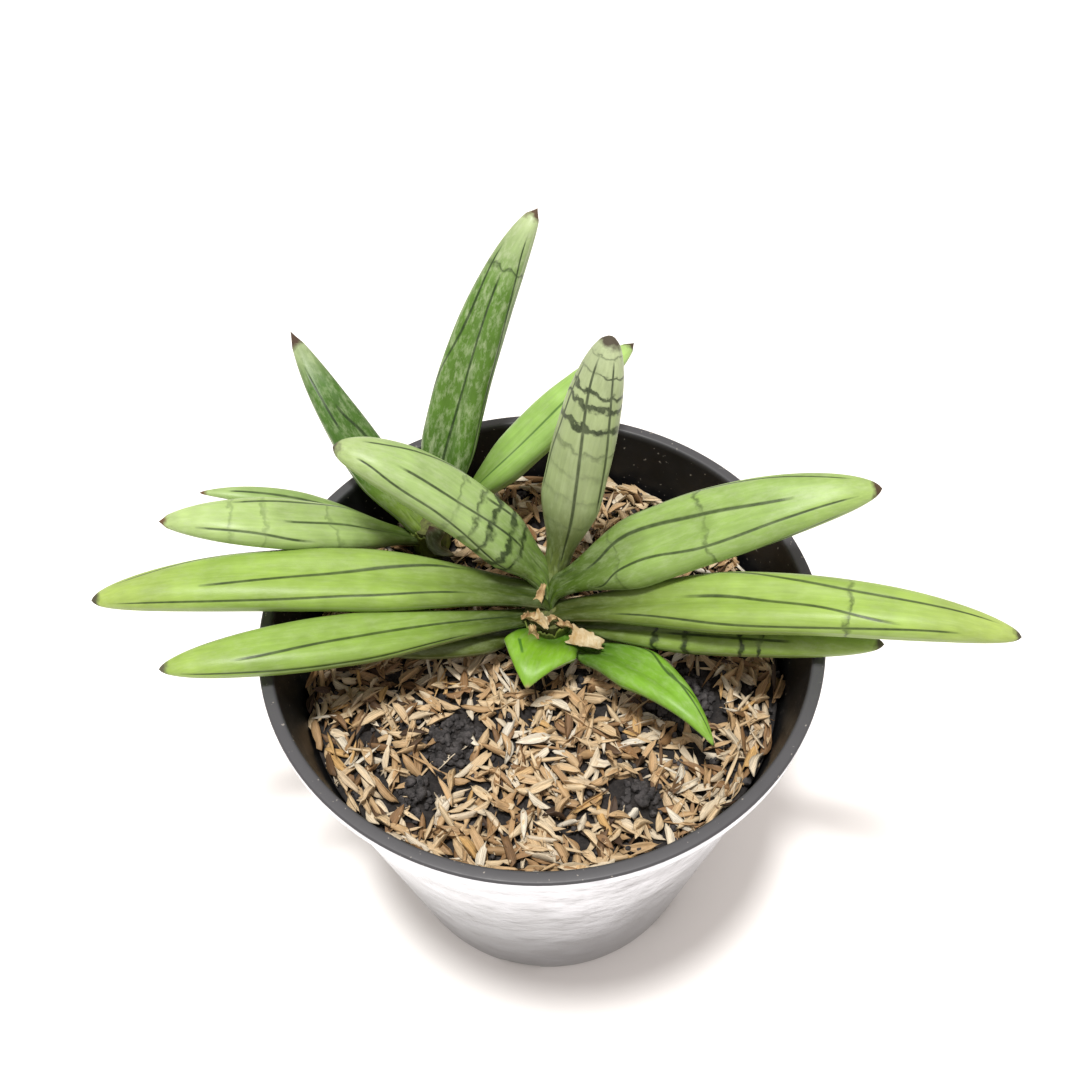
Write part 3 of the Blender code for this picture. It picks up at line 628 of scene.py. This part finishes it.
def arc(cx, cz, radius, start, end, steps=5):
    """Points on a round corner of a section; angles in degrees."""
    angles = [math.radians(start + (end - start) * i / steps) for i in range(steps + 1)]
    return [(cx + radius * math.cos(a), cz + radius * math.sin(a)) for a in angles]


floor_top = FLOOR_HEIGHT + FLOOR_THICK
floor_edge = (wall_radius(floor_top) - WALL, floor_top)
inner_top = (wall_radius(POT_HEIGHT) - WALL, POT_HEIGHT - MOUTH_EDGE)
neck = (wall_radius(POT_HEIGHT - LIP_DEPTH), POT_HEIGHT - LIP_DEPTH)
section = (
    [(0, floor_top)] + between((PAD, floor_top), floor_edge, 4) + between(floor_edge, inner_top, 30)
    + arc(inner_top[0] + MOUTH_EDGE, POT_HEIGHT - MOUTH_EDGE, MOUTH_EDGE, 180, 90)
    + arc(POT_TOP - EDGE, POT_HEIGHT - EDGE, EDGE, 90, 0)
    + arc(POT_TOP - EDGE, POT_HEIGHT - LIP_DEPTH + EDGE, EDGE, 0, -90)
    + between(neck, (wall_radius(WALL_END), WALL_END), 34)
    + arc(POT_FOOT - EDGE, EDGE, EDGE, 0, -90)
    + [(POT_FOOT - FOOT_RING, 0), (POT_FOOT - FOOT_RING, FLOOR_HEIGHT)]
    + [(PAD, FLOOR_HEIGHT), (PAD, 0), (0, 0)])
print("pot section:", len(section), "points")

# %% [markdown]
# The inside of the pot is plain black plastic, as moulded: satin, with dry soil dust and a few pale specks on
# it. Plastic needs little more than a dark colour and the right gloss, so the dust does the work, and it both
# lightens the colour and dulls the shine. The top of the lip is painted paler: partly wear, and partly a
# painted highlight for the light it catches.

# %% The pot's black plastic
DUST, SPECK = 6.25 * MM, 1.11 * MM    # sizes of a patch of dust and of the room round a speck
LIP_FROM, LIP_FULL = 128 * MM, 129.6 * MM    # heights between which the lip's paler colour, partly wear and partly painted highlight, sets in


def black_plastic_skin():
    """Moulded polypropylene gives the eye a deep black that goes grey only where light glances off."""
    material, tree, shader = new_material("nursery_pot_black_moulded_plastic", IOR=1.45)
    where = add(tree, "TexCoord").node.outputs["Object"]
    dust = add(tree, "TexNoise", {"Vector": where, "Scale": 1 / DUST, "Detail": 5, "Roughness": 0.7})
    specks = add(tree, "TexNoise", {"Vector": where, "Scale": 1 / SPECK, "Detail": 1})
    colour = add(tree, "ValToRGB", {"Fac": dust}, stops=[
        (0.35, lit("#0f0f11")), (0.6, lit("#19191c")), (0.8, lit("#2e2d2c"))])
    height = add(tree, "SeparateXYZ", {0: where}).node.outputs["Z"]
    # the top of the lip is painted paler: partly wear, partly a painted highlight for the light it catches
    lip_wear_and_highlight = add(tree, "MapRange", {"Value": height, 1: LIP_FROM, 2: LIP_FULL})
    colour = add(tree, "Mix", {"Factor": lip_wear_and_highlight, "A": colour, "B": lit("#57575b")}, data_type="RGBA")
    speck = add(tree, "MapRange", {"Value": specks, 1: 0.72, 2: 0.76, 3: 0, 4: 0.7})
    colour = add(tree, "Mix", {"Factor": speck, "A": colour, "B": lit("#c5beb4")}, data_type="RGBA")
    tree.links.new(colour, shader.inputs["Base Color"])
    tree.links.new(add(tree, "MapRange", {"Value": dust, 3: 0.32, 4: 0.62}), shader.inputs["Roughness"])
    bump = add(tree, "Bump", {"Height": dust, "Strength": 0.2, "Distance": 0.2 * MM})
    tree.links.new(bump, shader.inputs["Normal"])
    return material


print("dust patches round the mouth:", round(2 * math.pi * POT_TOP * MM / DUST))

# %% [markdown]
# The outer wall is bright: white above and grey below, with a soft wavy edge between the two, and mottled.
# That is how a silver-grey sprayed wall looks over a white board. A metal that is scuffed a little takes on
# the light of the board as the real wall does, which no plain grey paint would. The grey below and the white
# above are also painted into the colour as a painted reflection, graded by height: the pot's shadow on the
# board mirrored low down, and the lit board mirrored higher up.

# %% The pot's outer wall
DENT, SCUFF, REFLECTION_EDGE = 28.6 * MM, 8.33 * MM, 71.4 * MM    # sizes of the waves, the mottling and the soft edge of the painted reflection
REFLECTION_EDGE_RISE, SHADOW_REFLECTED_BELOW, BOARD_REFLECTED_ABOVE = 110 * MM, 55 * MM, 185 * MM    # how far the painted reflection's edge wanders, and the heights where it is grey below and white above


def silver_wall_painted_reflection_skin():
    """Sprayed silver gives the eye a bright sheen that breaks up in the wall's waves and scuffs, over a
    painted reflection that is grey low down and white higher up.
    """
    material, tree, shader = new_material("nursery_pot_silver_outer_wall_painted_reflection", Metallic=0.92)
    where = add(tree, "TexCoord").node.outputs["Object"]
    dents = add(tree, "TexNoise", {"Vector": where, "Scale": 1 / DENT, "Detail": 4, "Roughness": 0.6})
    scuffs = add(tree, "TexNoise", {"Vector": where, "Scale": 1 / SCUFF, "Detail": 6, "Roughness": 0.7})
    reflection_edge = add(tree, "TexNoise", {"Vector": where, "Scale": 1 / REFLECTION_EDGE, "Detail": 3, "Roughness": 0.5})
    height = add(tree, "SeparateXYZ", {0: where}).node.outputs["Z"]
    # painted reflection: the colour is graded by height, grey low down where the pot's shadow on the board is
    # mirrored, white higher up where the lit board is mirrored
    reflection_height = add(tree, "Math", {0: reflection_edge, 1: REFLECTION_EDGE_RISE, 2: height}, operation="MULTIPLY_ADD")
    share = add(tree, "MapRange", {"Value": reflection_height, 1: SHADOW_REFLECTED_BELOW, 2: BOARD_REFLECTED_ABOVE})
    colour = add(tree, "ValToRGB", {"Fac": share}, stops=[
        (0, linear("#86888c")), (0.38, linear("#97999e")), (0.68, linear("#d2d4da")),
        (1, linear("#e3e5ec"))])
    tone = add(tree, "MapRange", {"Value": scuffs, 1: 0.3, 2: 0.7, 3: 0.66, 4: 1.14})
    colour = add(tree, "VectorMath", {0: colour, "Scale": tone}, operation="SCALE")
    tree.links.new(colour, shader.inputs["Base Color"])
    tree.links.new(add(tree, "MapRange", {"Value": scuffs, 3: 0.14, 4: 0.32}), shader.inputs["Roughness"])
    bump = add(tree, "Bump", {"Height": dents, "Strength": 0.6, "Distance": 1.8 * MM})
    tree.links.new(bump, shader.inputs["Normal"])
    return material


print("waves round the wall:", round(2 * math.pi * POT_FOOT * MM / DENT))

# %% [markdown]
# The section is now spun into the shell, and each face is given the black or the silver skin by where it
# lies: silver is what can be reached with a spray from outside. The notches in the foot ring and the
# drain holes are plain blocks and cylinders taken out with one Boolean, which is applied, so that the
# piece is one closed mesh in every program that opens it.

# %% Turn and cut the pot
TURN_STEPS = 160
LIP_TOP = 1.5    # how far down from its top the lip shows black, in millimetres
NOTCHES, FIRST_NOTCH, NOTCH_SIZE = 6, -42, (12, 13, 4.8)    # how many, degrees, and in, across and up in mm
HOLE_RADIUS, HOLE_FROM_AXIS = 4, 34
CREASE = math.radians(45)


def spun(points, steps):
    """A turned closed shell from a section in millimetres that starts and ends on the axis."""
    bm = bmesh.new()
    verts = [bm.verts.new((r * MM, 0, z * MM)) for r, z in points]
    edges = [bm.edges.new(pair) for pair in zip(verts, verts[1:])]
    bmesh.ops.spin(bm, geom=verts + edges, cent=(0, 0, 0), axis=(0, 0, 1), angle=2 * math.pi,
                   steps=steps, use_merge=True)
    bmesh.ops.remove_doubles(bm, verts=bm.verts, dist=0.01 * MM)
    return bm


def pot_cutters():
    """The notches and the drain holes as one object of blocks and cylinders."""
    bm = bmesh.new()
    block = Matrix.Translation((POT_FOOT * MM, 0, 0)) @ Matrix.Diagonal((*(a * MM for a in NOTCH_SIZE), 1))
    hole = Matrix.Translation((HOLE_FROM_AXIS * MM, 0, (FLOOR_HEIGHT + FLOOR_THICK / 2) * MM))
    for i in range(NOTCHES):
        turn = Matrix.Rotation(2 * math.pi * i / NOTCHES + math.radians(FIRST_NOTCH), 4, "Z")
        bmesh.ops.create_cube(bm, size=1, matrix=turn @ block)
        bmesh.ops.create_cone(bm, cap_ends=True, segments=32, radius1=HOLE_RADIUS * MM,
                              radius2=HOLE_RADIUS * MM, depth=3 * FLOOR_THICK * MM, matrix=turn @ hole)
    mesh = bpy.data.meshes.new("pot_cutters")
    bm.to_mesh(mesh)
    bm.free()
    cutter = bpy.data.objects.new("pot_cutters", mesh)
    bpy.context.scene.collection.objects.link(cutter)
    return cutter


shell = spun(section, TURN_STEPS)
for face in shell.faces:
    centre = face.calc_center_median()
    radius, height = math.hypot(centre.x, centre.y) / MM, centre.z / MM
    face.material_index = int(radius > wall_radius(height) - WALL / 2 and height < POT_HEIGHT - LIP_TOP)
skins = [black_plastic_skin(), silver_wall_painted_reflection_skin()]
pot_piece = finish_piece("pot_shell", shell, skins, ["pot"])
cutter = pot_cutters()
cut = pot_piece.modifiers.new("notches", "BOOLEAN")
cut.operation, cut.solver, cut.object = "DIFFERENCE", "EXACT", cutter
shaped = bpy.data.meshes.new_from_object(pot_piece.evaluated_get(bpy.context.evaluated_depsgraph_get()))
pot_piece.modifiers.clear()
pot_piece.data = shaped
bpy.data.objects.remove(cutter)
pot_piece.data.set_sharp_from_angle(angle=CREASE)
print("pot with its notches and holes:", len(pot_piece.data.polygons), "faces")

# %% [markdown]
# Dark crumbly soil fills the pot. It is level in front, banked up at the back and on the right, and
# stands up in clods where the husk is thin. Such ground has no outline worth drawing, only a height at
# each place, so two functions give it: the ground with its slow lumps, and the clods in four bare
# patches.

# %% The soil's height
SOIL_LEVEL, SOIL_BANK, SOIL_LUMP, SOIL_LUMP_SIZE = 103.5, 6, 1.2, 14    # millimetres
CLOD_RISE, CLOD_CRUMB, CLOD_SIZE, SEAT_GAP = 3.2, 1.2, 3.5, 0.35
BARE_PATCHES = [(-25, -24, 7), (38, -14, 8), (-34, -39, 4), (24, -43, 4.5)]    # x, y and radius
SHOOTS = [(2, 8, 6.5), (-33, 44, 5.5)]


def ground(x, y):
    """Height of the soil between its clods."""
    bank = SOIL_BANK * smoothstep((y + 0.5 * x) / POT_TOP)
    return SOIL_LEVEL + bank + SOIL_LUMP * noise.noise(Vector((x, y, 0)) / SOIL_LUMP_SIZE)


def clod(x, y):
    """Height of a clod above the ground, which is nothing outside the bare patches."""
    inside = max(1 - math.hypot(x - px, y - py) / radius for px, py, radius in BARE_PATCHES)
    return smoothstep(2 * inside) * (CLOD_RISE + CLOD_CRUMB * noise.noise(Vector((x, y, 0)) / CLOD_SIZE))


def edge_radius(height):
    return wall_radius(height) - WALL - 2 * SEAT_GAP


print("soil height in front and behind:", round(ground(0, -60), 1), round(ground(0, 60), 1))

# %% [markdown]
# Potting soil is peat and grit: quite matt, nearly black, and crumbly down to the finest grain. Noise
# with many details gives the crumbs and a cell pattern the rounded grains. Both go into the relief,
# because on a dark matt stuff the eye reads the shadows more than the colour.

# %% The soil's skin
SOIL_CRUMB, SOIL_GRAIN = 2.38 * MM, 1.667 * MM


def soil_skin(name, dark, light):
    material, tree, shader = new_material(name, Roughness=0.92)
    where = add(tree, "TexCoord").node.outputs["Object"]
    crumbs = add(tree, "TexNoise", {"Vector": where, "Scale": 1 / SOIL_CRUMB, "Detail": 6, "Roughness": 0.7})
    grains = add(tree, "TexVoronoi", {"Vector": where, "Scale": 1 / SOIL_GRAIN})
    colour = add(tree, "ValToRGB", {"Fac": crumbs}, stops=[(0.35, lit(dark)), (0.7, lit(light))])
    tree.links.new(colour, shader.inputs["Base Color"])
    both = add(tree, "Math", {0: grains, 1: 0.6, 2: crumbs}, operation="MULTIPLY_ADD")
    bump = add(tree, "Bump", {"Height": both, "Strength": 0.9, "Distance": 1.0 * MM})
    tree.links.new(bump, shader.inputs["Normal"])
    return material


print("grains in a centimetre of soil:", round(10 * MM / SOIL_GRAIN))

# %% [markdown]
# A grid can also be bent into a closed plug, which fits the pot like soil that was pressed in. Across the
# grid runs round the pot, and up the grid runs from the middle of the top out to the wall, down the wall
# and back to the middle below. Most of its rows lie on the top, where they are seen.

# %% The soil
TOP_SHARE, WALL_SHARE, RUBBLE, RUBBLE_SIZE, SUNK = 0.85, 0.95, 0.45, 2.2, 0.3


def soil_piece():
    bm = bmesh.new()
    bmesh.ops.create_grid(bm, x_segments=220, y_segments=120, size=0.5)
    rim, base = edge_radius(SOIL_LEVEL), FLOOR_HEIGHT + FLOOR_THICK + SEAT_GAP
    for vert in bm.verts:
        angle, run = 2 * math.pi * (vert.co.x + 0.5), vert.co.y + 0.5
        if run <= TOP_SHARE:
            radius = rim * run / TOP_SHARE
            x, y = radius * math.cos(angle), radius * math.sin(angle)
            rubble = RUBBLE * noise.fractal(Vector((x, y, 3)) / RUBBLE_SIZE, 1.0, 2.0, 4)
            vert.co = Vector((x, y, ground(x, y) + clod(x, y) - SUNK + rubble)) * MM
        elif run <= WALL_SHARE:
            down = (run - TOP_SHARE) / (WALL_SHARE - TOP_SHARE)
            x, y = rim * math.cos(angle), rim * math.sin(angle)
            height = (ground(x, y) - 0.5) * (1 - down) + base * down
            radius = min(rim, edge_radius(height))
            vert.co = Vector((radius * math.cos(angle), radius * math.sin(angle), height)) * MM
        else:
            radius = edge_radius(base) * max(0.0, (1 - run) / (1 - WALL_SHARE))
            vert.co = Vector((radius * math.cos(angle), radius * math.sin(angle), base)) * MM
    bmesh.ops.remove_doubles(bm, verts=bm.verts, dist=0.002 * MM)
    return finish_piece("soil_filling", bm, [soil_skin("potting_soil_dark_crumbly", "#1d1a1b", "#4f4946")],
                        ["soil"])


soil_piece()

# %% [markdown]
# Loose crumbs of soil lie in the bare patches and here and there between the husks. There are hundreds,
# and no two are alike, yet nobody can tell them one by one. So four balls of few faces are pushed about
# by noise, and copies of them are turned and scaled at random. The draws come from one seeded source, so
# that every run gives the same pot.

# %% Soil crumbs
CRUMBS, CRUMB_KINDS, CRUMB_FLAT = 900, 4, 0.8
CRUMB_DENSITY = 2.6    # for each square of a bare patch's radius
chance = random.Random(5)


def moved_copies(templates, places, tones=None):
    """One bmesh that holds a copy of a template mesh at each (template number, placing matrix)."""
    bm = bmesh.new()
    for i, (which, matrix) in enumerate(places):
        template = templates[which]
        if tones:
            template.attributes["tone"].data.foreach_set("value", [tones[i]] * len(template.vertices))
        template.transform(matrix)
        bm.from_mesh(template)
        template.transform(matrix.inverted())
    return bm


def crumb_template(seed):
    bm = bmesh.new()
    bmesh.ops.create_icosphere(bm, subdivisions=2, radius=0.5)
    for vert in bm.verts:
        vert.co *= 1 + 0.5 * noise.noise(vert.co * 3 + Vector((seed, 0, 0)))
    mesh = bpy.data.meshes.new("crumb")
    bm.to_mesh(mesh)
    bm.free()
    return mesh


def crumb_turn(x, y, z, size):
    """Placed, turned at random and scaled."""
    spin = Matrix.Rotation(chance.uniform(0, 2 * math.pi), 4, "Z") @ Matrix.Rotation(
        chance.uniform(0, math.pi), 4, "X")
    return Matrix.Translation(Vector((x, y, z)) * MM) @ spin @ Matrix.Diagonal(
        (size * MM, size * MM, size * CRUMB_FLAT * MM, 1))


crumb_places = []
for px, py, radius in BARE_PATCHES:
    for _ in range(int(radius * radius * CRUMB_DENSITY)):
        far, angle = radius * 1.15 * math.sqrt(chance.random()), chance.uniform(0, 2 * math.pi)
        x, y = px + far * math.cos(angle), py + far * math.sin(angle)
        size = chance.uniform(0.9, 2.8)
        kind = chance.randrange(CRUMB_KINDS)
        crumb_places.append((kind, crumb_turn(x, y, ground(x, y) + clod(x, y) + 0.2 * size, size)))
while len(crumb_places) < CRUMBS:
    far, angle = 66 * math.sqrt(chance.random()), chance.uniform(0, 2 * math.pi)
    x, y = far * math.cos(angle), far * math.sin(angle)
    size = chance.uniform(0.7, 2.2)
    kind = chance.randrange(CRUMB_KINDS)
    crumb_places.append((kind, crumb_turn(x, y, ground(x, y) + chance.uniform(0.2, 2.2), size)))
crumb_meshes = [crumb_template(i * 7.3) for i in range(CRUMB_KINDS)]
finish_piece("soil_crumbs", moved_copies(crumb_meshes, crumb_places),
             [soil_skin("potting_soil_loose_crumbs", "#2a2829", "#757070")])

# %% [markdown]
# Rice husks cover the soil. A whole husk is a papery boat about 9 mm long with pointed ends, but most are
# torn or split into splinters. Each kind is bent from a very small grid and thickened, because a shape
# that is copied thousands of times has to have few faces. Two attributes go with every copy: its own
# tone, and where on the husk a point lies, so that the ribs run along each husk however it is turned.

# %% One rice husk
HUSK_THICK = 0.06    # as a share of its length
HUSK_KINDS = ["boat", "boat", "boat", "torn", "torn", "torn", "splinter", "splinter"]


def husk_template(kind, seed):
    """A husk one unit long: a whole boat, a torn half with a ragged end, or a narrow splinter."""
    shape = random.Random(seed)
    bend, cup, skew = shape.uniform(-1.0, 1.3), shape.uniform(0.4, 1.2), shape.uniform(-0.2, 0.2)
    bm = bmesh.new()
    bmesh.ops.create_grid(bm, x_segments=5, y_segments=3, size=0.5)
    for vert in bm.verts:
        along, across = 2 * vert.co.x, 2 * vert.co.y
        half = 0.5 * max(0.04, 1 - abs(along + skew * (1 - along ** 2)) ** 2.2) ** 0.8
        if kind == "torn" and along > 0.3:
            half = 0.5 * shape.uniform(0.45, 0.9)
        if kind == "splinter":
            half *= 0.5
        ragged = shape.uniform(-0.1, 0.14) if kind != "boat" and abs(along) > 0.9 else 0
        vert.co.x = along / 2 + ragged
        vert.co.y = across * half
        vert.co.z = 1.6 * cup * (across * half) ** 2 + 0.12 * bend * along ** 2 + shape.uniform(-0.03, 0.03)
    bmesh.ops.solidify(bm, geom=bm.faces, thickness=HUSK_THICK)
    mesh = bpy.data.meshes.new("husk")
    bm.to_mesh(mesh)
    bm.free()
    mesh.attributes.new("tone", "FLOAT", "POINT")
    mesh.attributes.new("grain", "FLOAT_VECTOR", "POINT")
    grain_values = [c for vert in mesh.vertices for c in vert.co * 9 + Vector((0, 0, seed))]
    mesh.attributes["grain"].data.foreach_set("vector", grain_values)
    return mesh


husk_meshes = [husk_template(kind, i) for i, kind in enumerate(HUSK_KINDS)]
print("faces of one husk:", len(husk_meshes[0].polygons))

# %% [markdown]
# Dry husk is bleached straw: brown where it is old and damp, cream where it is dry. A ramp over the tone
# of each husk gives that whole range in one material, and ribs about half a millimetre apart darken it
# and raise it. Its gloss is low, but not gone, because the outside of a husk is hard and a little shiny.

# %% The husks' skin
RIB_SQUEEZE = (0.15, 2.0, 2.0)    # along the husk and across it: two ribs to a millimetre, drawn out


def husk_skin():
    material, tree, shader = new_material("rice_husk_dried_papery", Roughness=0.62)
    tone = add(tree, "Attribute", attribute_name="tone").node.outputs["Fac"]
    along = add(tree, "Attribute", attribute_name="grain").node.outputs["Vector"]
    colour = add(tree, "ValToRGB", {"Fac": tone}, stops=[
        (0.0, lit("#4e3826")), (0.2, lit("#a47c50")), (0.4, lit("#dcb786")), (0.64, lit("#f4dab0")),
        (0.88, lit("#fff6e2")), (1.0, lit("#e6ba78"))])
    ribs = add(tree, "VectorMath", {0: along, 1: RIB_SQUEEZE}, operation="MULTIPLY")
    ribs = add(tree, "TexNoise", {"Vector": ribs, "Scale": 1.0, "Detail": 3, "Roughness": 0.6})
    shade = add(tree, "MapRange", {"Value": ribs, 1: 0.32, 2: 0.68, 3: 0.7, 4: 1.5})
    colour = add(tree, "VectorMath", {0: colour, "Scale": shade}, operation="SCALE")
    tree.links.new(colour, shader.inputs["Base Color"])
    bump = add(tree, "Bump", {"Height": ribs, "Strength": 0.6, "Distance": 0.2 * MM})
    tree.links.new(bump, shader.inputs["Normal"])
    return material


print("ribs across a husk 2 mm wide:", round(2 * RIB_SQUEEZE[1]))

# %% [markdown]
# The husks were strewn by hand, so they lie over each other at random: flat below, tilted on top. They
# leave the shoots free, are few in the bare patches, and those by the wall lie along it, as it turned
# them. A pile could be made with a physics run, but placing them by a rule is quick and always gives the
# same bed.

# %% Strew the husks
HUSKS, HUSK_DEPTH, BED_DEPTH, BED_RADIUS = 2000, 4.5, 3.2, 68
HUSK_LENGTHS, HUSK_WIDTHS = (5.2, 10.6), (1.4, 2.7)    # millimetres, from the smallest to the largest


def husk_turn(heading, steep):
    """Turned to its heading, tilted by up to steep degrees, rolled, and either side up."""
    tilt = Matrix.Rotation(math.radians(chance.uniform(-steep, steep)), 4, "Y")
    roll = Matrix.Rotation(math.radians(chance.uniform(-50, 50)), 4, "X")
    side = Matrix.Rotation(math.pi * chance.randrange(2), 4, "X")
    return Matrix.Rotation(heading, 4, "Z") @ tilt @ roll @ side


husk_places, tones = [], []
while len(husk_places) < HUSKS:
    far, angle = BED_RADIUS * math.sqrt(chance.random()), chance.uniform(0, 2 * math.pi)
    x, y = far * math.cos(angle), far * math.sin(angle)
    patch = min(math.hypot(x - px, y - py) - radius for px, py, radius in BARE_PATCHES)
    shoot = min(math.hypot(x - sx, y - sy) - radius for sx, sy, radius in SHOOTS)
    if patch < 2.5 and chance.random() > 0.12 or shoot < 3:
        continue
    length, width = chance.uniform(*HUSK_LENGTHS), chance.uniform(*HUSK_WIDTHS)
    layer = chance.random()
    height = ground(x, y) + 0.5 + BED_DEPTH * layer
    steep = 12 + 40 * layer * chance.random()
    by_wall = far + length / 2 > edge_radius(SOIL_LEVEL)
    heading = angle + math.pi / 2 + chance.uniform(-0.3, 0.3) if by_wall else chance.uniform(0, 2 * math.pi)
    if by_wall and far > BED_RADIUS - 2:
        continue
    turn = husk_turn(heading, steep)
    scale = Matrix.Diagonal((length * MM, width * MM, HUSK_DEPTH * MM, 1))
    kind = chance.randrange(len(HUSK_KINDS))
    husk_places.append((kind, Matrix.Translation(Vector((x, y, height)) * MM) @ turn @ scale))
    tones.append(min(1.0, max(0.0, chance.gauss(0.52, 0.27))))
husks = finish_piece("rice_husks", moved_copies(husk_meshes, husk_places, tones),
                     [husk_skin()], ["rice_husk"])
print("husks:", len(husk_places), "with", sum(len(p.vertices) - 2 for p in husks.data.polygons), "triangles")

# %% [markdown]
# Stems, old sheaths and torn scraps are all dead or woody skin, which is fibrous. One recipe serves them:
# a noise drawn out along the fibres, between a dark and a light colour, that also makes the relief. The
# two stems are right as they stand in the CAD part, so they keep their shape and only get this skin.

# %% Fibrous skins and the stems
STEM_FIBRES = (900, 900, 150)    # fibres to a metre across and along, so one is 1.1 mm wide and 6.7 mm long


def dry_skin(name, dark, light, fibres_per_metre):
    """Dry fibres give the eye a dull skin, streaked from dark to light."""
    material, tree, shader = new_material(name, Roughness=0.7)
    where = add(tree, "TexCoord").node.outputs["Object"]
    drawn = add(tree, "VectorMath", {0: where, 1: fibres_per_metre}, operation="MULTIPLY")
    fibres = add(tree, "TexNoise", {"Vector": drawn, "Scale": 1.0, "Detail": 5, "Roughness": 0.65})
    colour = add(tree, "ValToRGB", {"Fac": fibres}, stops=[(0.3, lit(dark)), (0.7, lit(light))])
    tree.links.new(colour, shader.inputs["Base Color"])
    bump = add(tree, "Bump", {"Height": fibres, "Strength": 0.7, "Distance": 0.3 * MM})
    tree.links.new(bump, shader.inputs["Normal"])
    return material


stem_skin = dry_skin("stem_fibrous_olive", "#4a4a20", "#7f8a3c", STEM_FIBRES)
STEMS = ("stem_main", "stem_pup")
for name in STEMS:
    node_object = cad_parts[name]
    node_object.data.materials.clear()
    node_object.data.materials.append(stem_skin)
print("stems with a new skin:", *STEMS)

# %% [markdown]
# Papery scraps of old sheath lie in the crown, curled and torn. A scrap is a flat grid that is thickened
# first and bent after: thickening a strongly curled sheet would throw spikes at its sharp bends. Noise
# makes its edges ragged. Where the part has a solid for a scrap, the finer one stands for it, and five
# small shreds without a solid are one piece.

# %% Dried scraps
PAPER_FIBRES, PAPER_THICK = (500, 160, 500), 0.2
Scrap = namedtuple("Scrap", "at length width curl heading rise")
SCRAPS = {
    "dry_scale": Scrap((12, -2.5, 118.4), 9, 6, 1.3, -20, -8),
    "dry_shred": Scrap((-0.5, 3.5, 120.3), 7.5, 4, 1.4, -60, 15),
}
SHREDS = [
    Scrap((-3.5, 4.5, 120.2), 4.5, 2.6, 1.5, 200, 30),
    Scrap((2.5, 3.2, 120.6), 4, 2.4, 1.2, 10, 20),
    Scrap((6.5, 2.0, 119.6), 5, 2.0, 1.4, -30, 10),
    Scrap((-2.5, 1.0, 118.6), 4, 3.0, 1.6, 100, 40),
    Scrap((0.5, 10.5, 124.0), 5, 2.4, 1.0, 60, 35),
]


def scrap_sheet(bm, scrap, seed):
    """Adds one curled, ragged, papery sheet to a bmesh."""
    sheet = bmesh.new()
    bmesh.ops.create_grid(sheet, x_segments=28, y_segments=18, size=0.5)
    bmesh.ops.solidify(sheet, geom=sheet.faces, thickness=PAPER_THICK)
    for vert in sheet.verts:
        along, across, depth = vert.co
        narrow = 1 - 0.5 * (along + 0.5) ** 2
        ragged = noise.noise(Vector((along * 7, across * 7, seed)))
        torn = 1 + 0.3 * ragged * (max(abs(along), abs(across)) * 2) ** 4
        arch = scrap.curl * (2 * across) ** 2 + 0.3 * scrap.curl * math.sin(7 * along)
        vert.co.x = along * torn * scrap.length * MM
        vert.co.y = across * torn * scrap.width * MM * narrow
        vert.co.z = (arch + 0.3 * ragged + depth) * MM
    heading = Matrix.Rotation(math.radians(scrap.heading), 4, "Z")
    rise = Matrix.Rotation(math.radians(-scrap.rise), 4, "Y")
    sheet.transform(Matrix.Translation(Vector(scrap.at) * MM) @ heading @ rise)
    mesh = bpy.data.meshes.new("sheet")
    sheet.to_mesh(mesh)
    sheet.free()
    bm.from_mesh(mesh)
    bpy.data.meshes.remove(mesh)


scrap_skin = dry_skin("dried_sheath_papery_amber", "#c8a058", "#fff2cc", PAPER_FIBRES)
for i, (name, scrap) in enumerate(SCRAPS.items()):
    bm = bmesh.new()
    scrap_sheet(bm, scrap, i)
    finish_piece(name + "_papery", bm, [scrap_skin], [name])
bm = bmesh.new()
for i, scrap in enumerate(SHREDS):
    scrap_sheet(bm, scrap, 10 + i)
finish_piece("crown_shreds", bm, [dry_skin("dried_sheath_torn_brown", "#a06a38", "#f6dca4", PAPER_FIBRES)])

# %% [markdown]
# Round the front of each shoot stands what is left of its first leaves: a short olive sheath with a torn
# upper edge, which hides where the feet end. It is a grid that is thickened and then laid round the shoot
# as part of a cone. Two noises, a slow one and a quick one, tear its edge.

# %% The old sheaths
SHEATH_FIBRES, SHEATH_THICK = (300, 300, 120), 0.5


def collar(name, core, radius, low, high, start, end, skin):
    """A sheath between two heights in millimetres, and between two angles round the shoot in degrees."""
    bm = bmesh.new()
    bmesh.ops.create_grid(bm, x_segments=60, y_segments=14, size=0.5)
    bmesh.ops.solidify(bm, geom=bm.faces, thickness=SHEATH_THICK)
    for vert in bm.verts:
        angle = math.radians(start + (end - start) * (vert.co.x + 0.5))
        rise, depth = vert.co.y + 0.5, vert.co.z
        torn = noise.noise(Vector((angle * 4, 0, radius)))
        torn += 0.5 * noise.noise(Vector((angle * 13, 0, radius)))
        height = low + (high - low) * rise * (1 + 0.3 * torn)
        reach = radius * (1 + 0.12 * rise ** 2 + 0.03 * torn) + depth
        vert.co = Vector((core.x + reach * math.cos(angle), core.y + reach * math.sin(angle), height)) * MM
    return finish_piece(name, bm, [skin])


sheath_skin = dry_skin("old_leaf_sheath_olive", "#4f5f1c", "#93a63e", SHEATH_FIBRES)
collar("sheath_main", CORES["main"], 6.9, 106.5, 118.6, -175, -5, sheath_skin)
collar("sheath_pup", CORES["pup"], 5.9, 106.5, 116.5, -170, 20, sheath_skin)
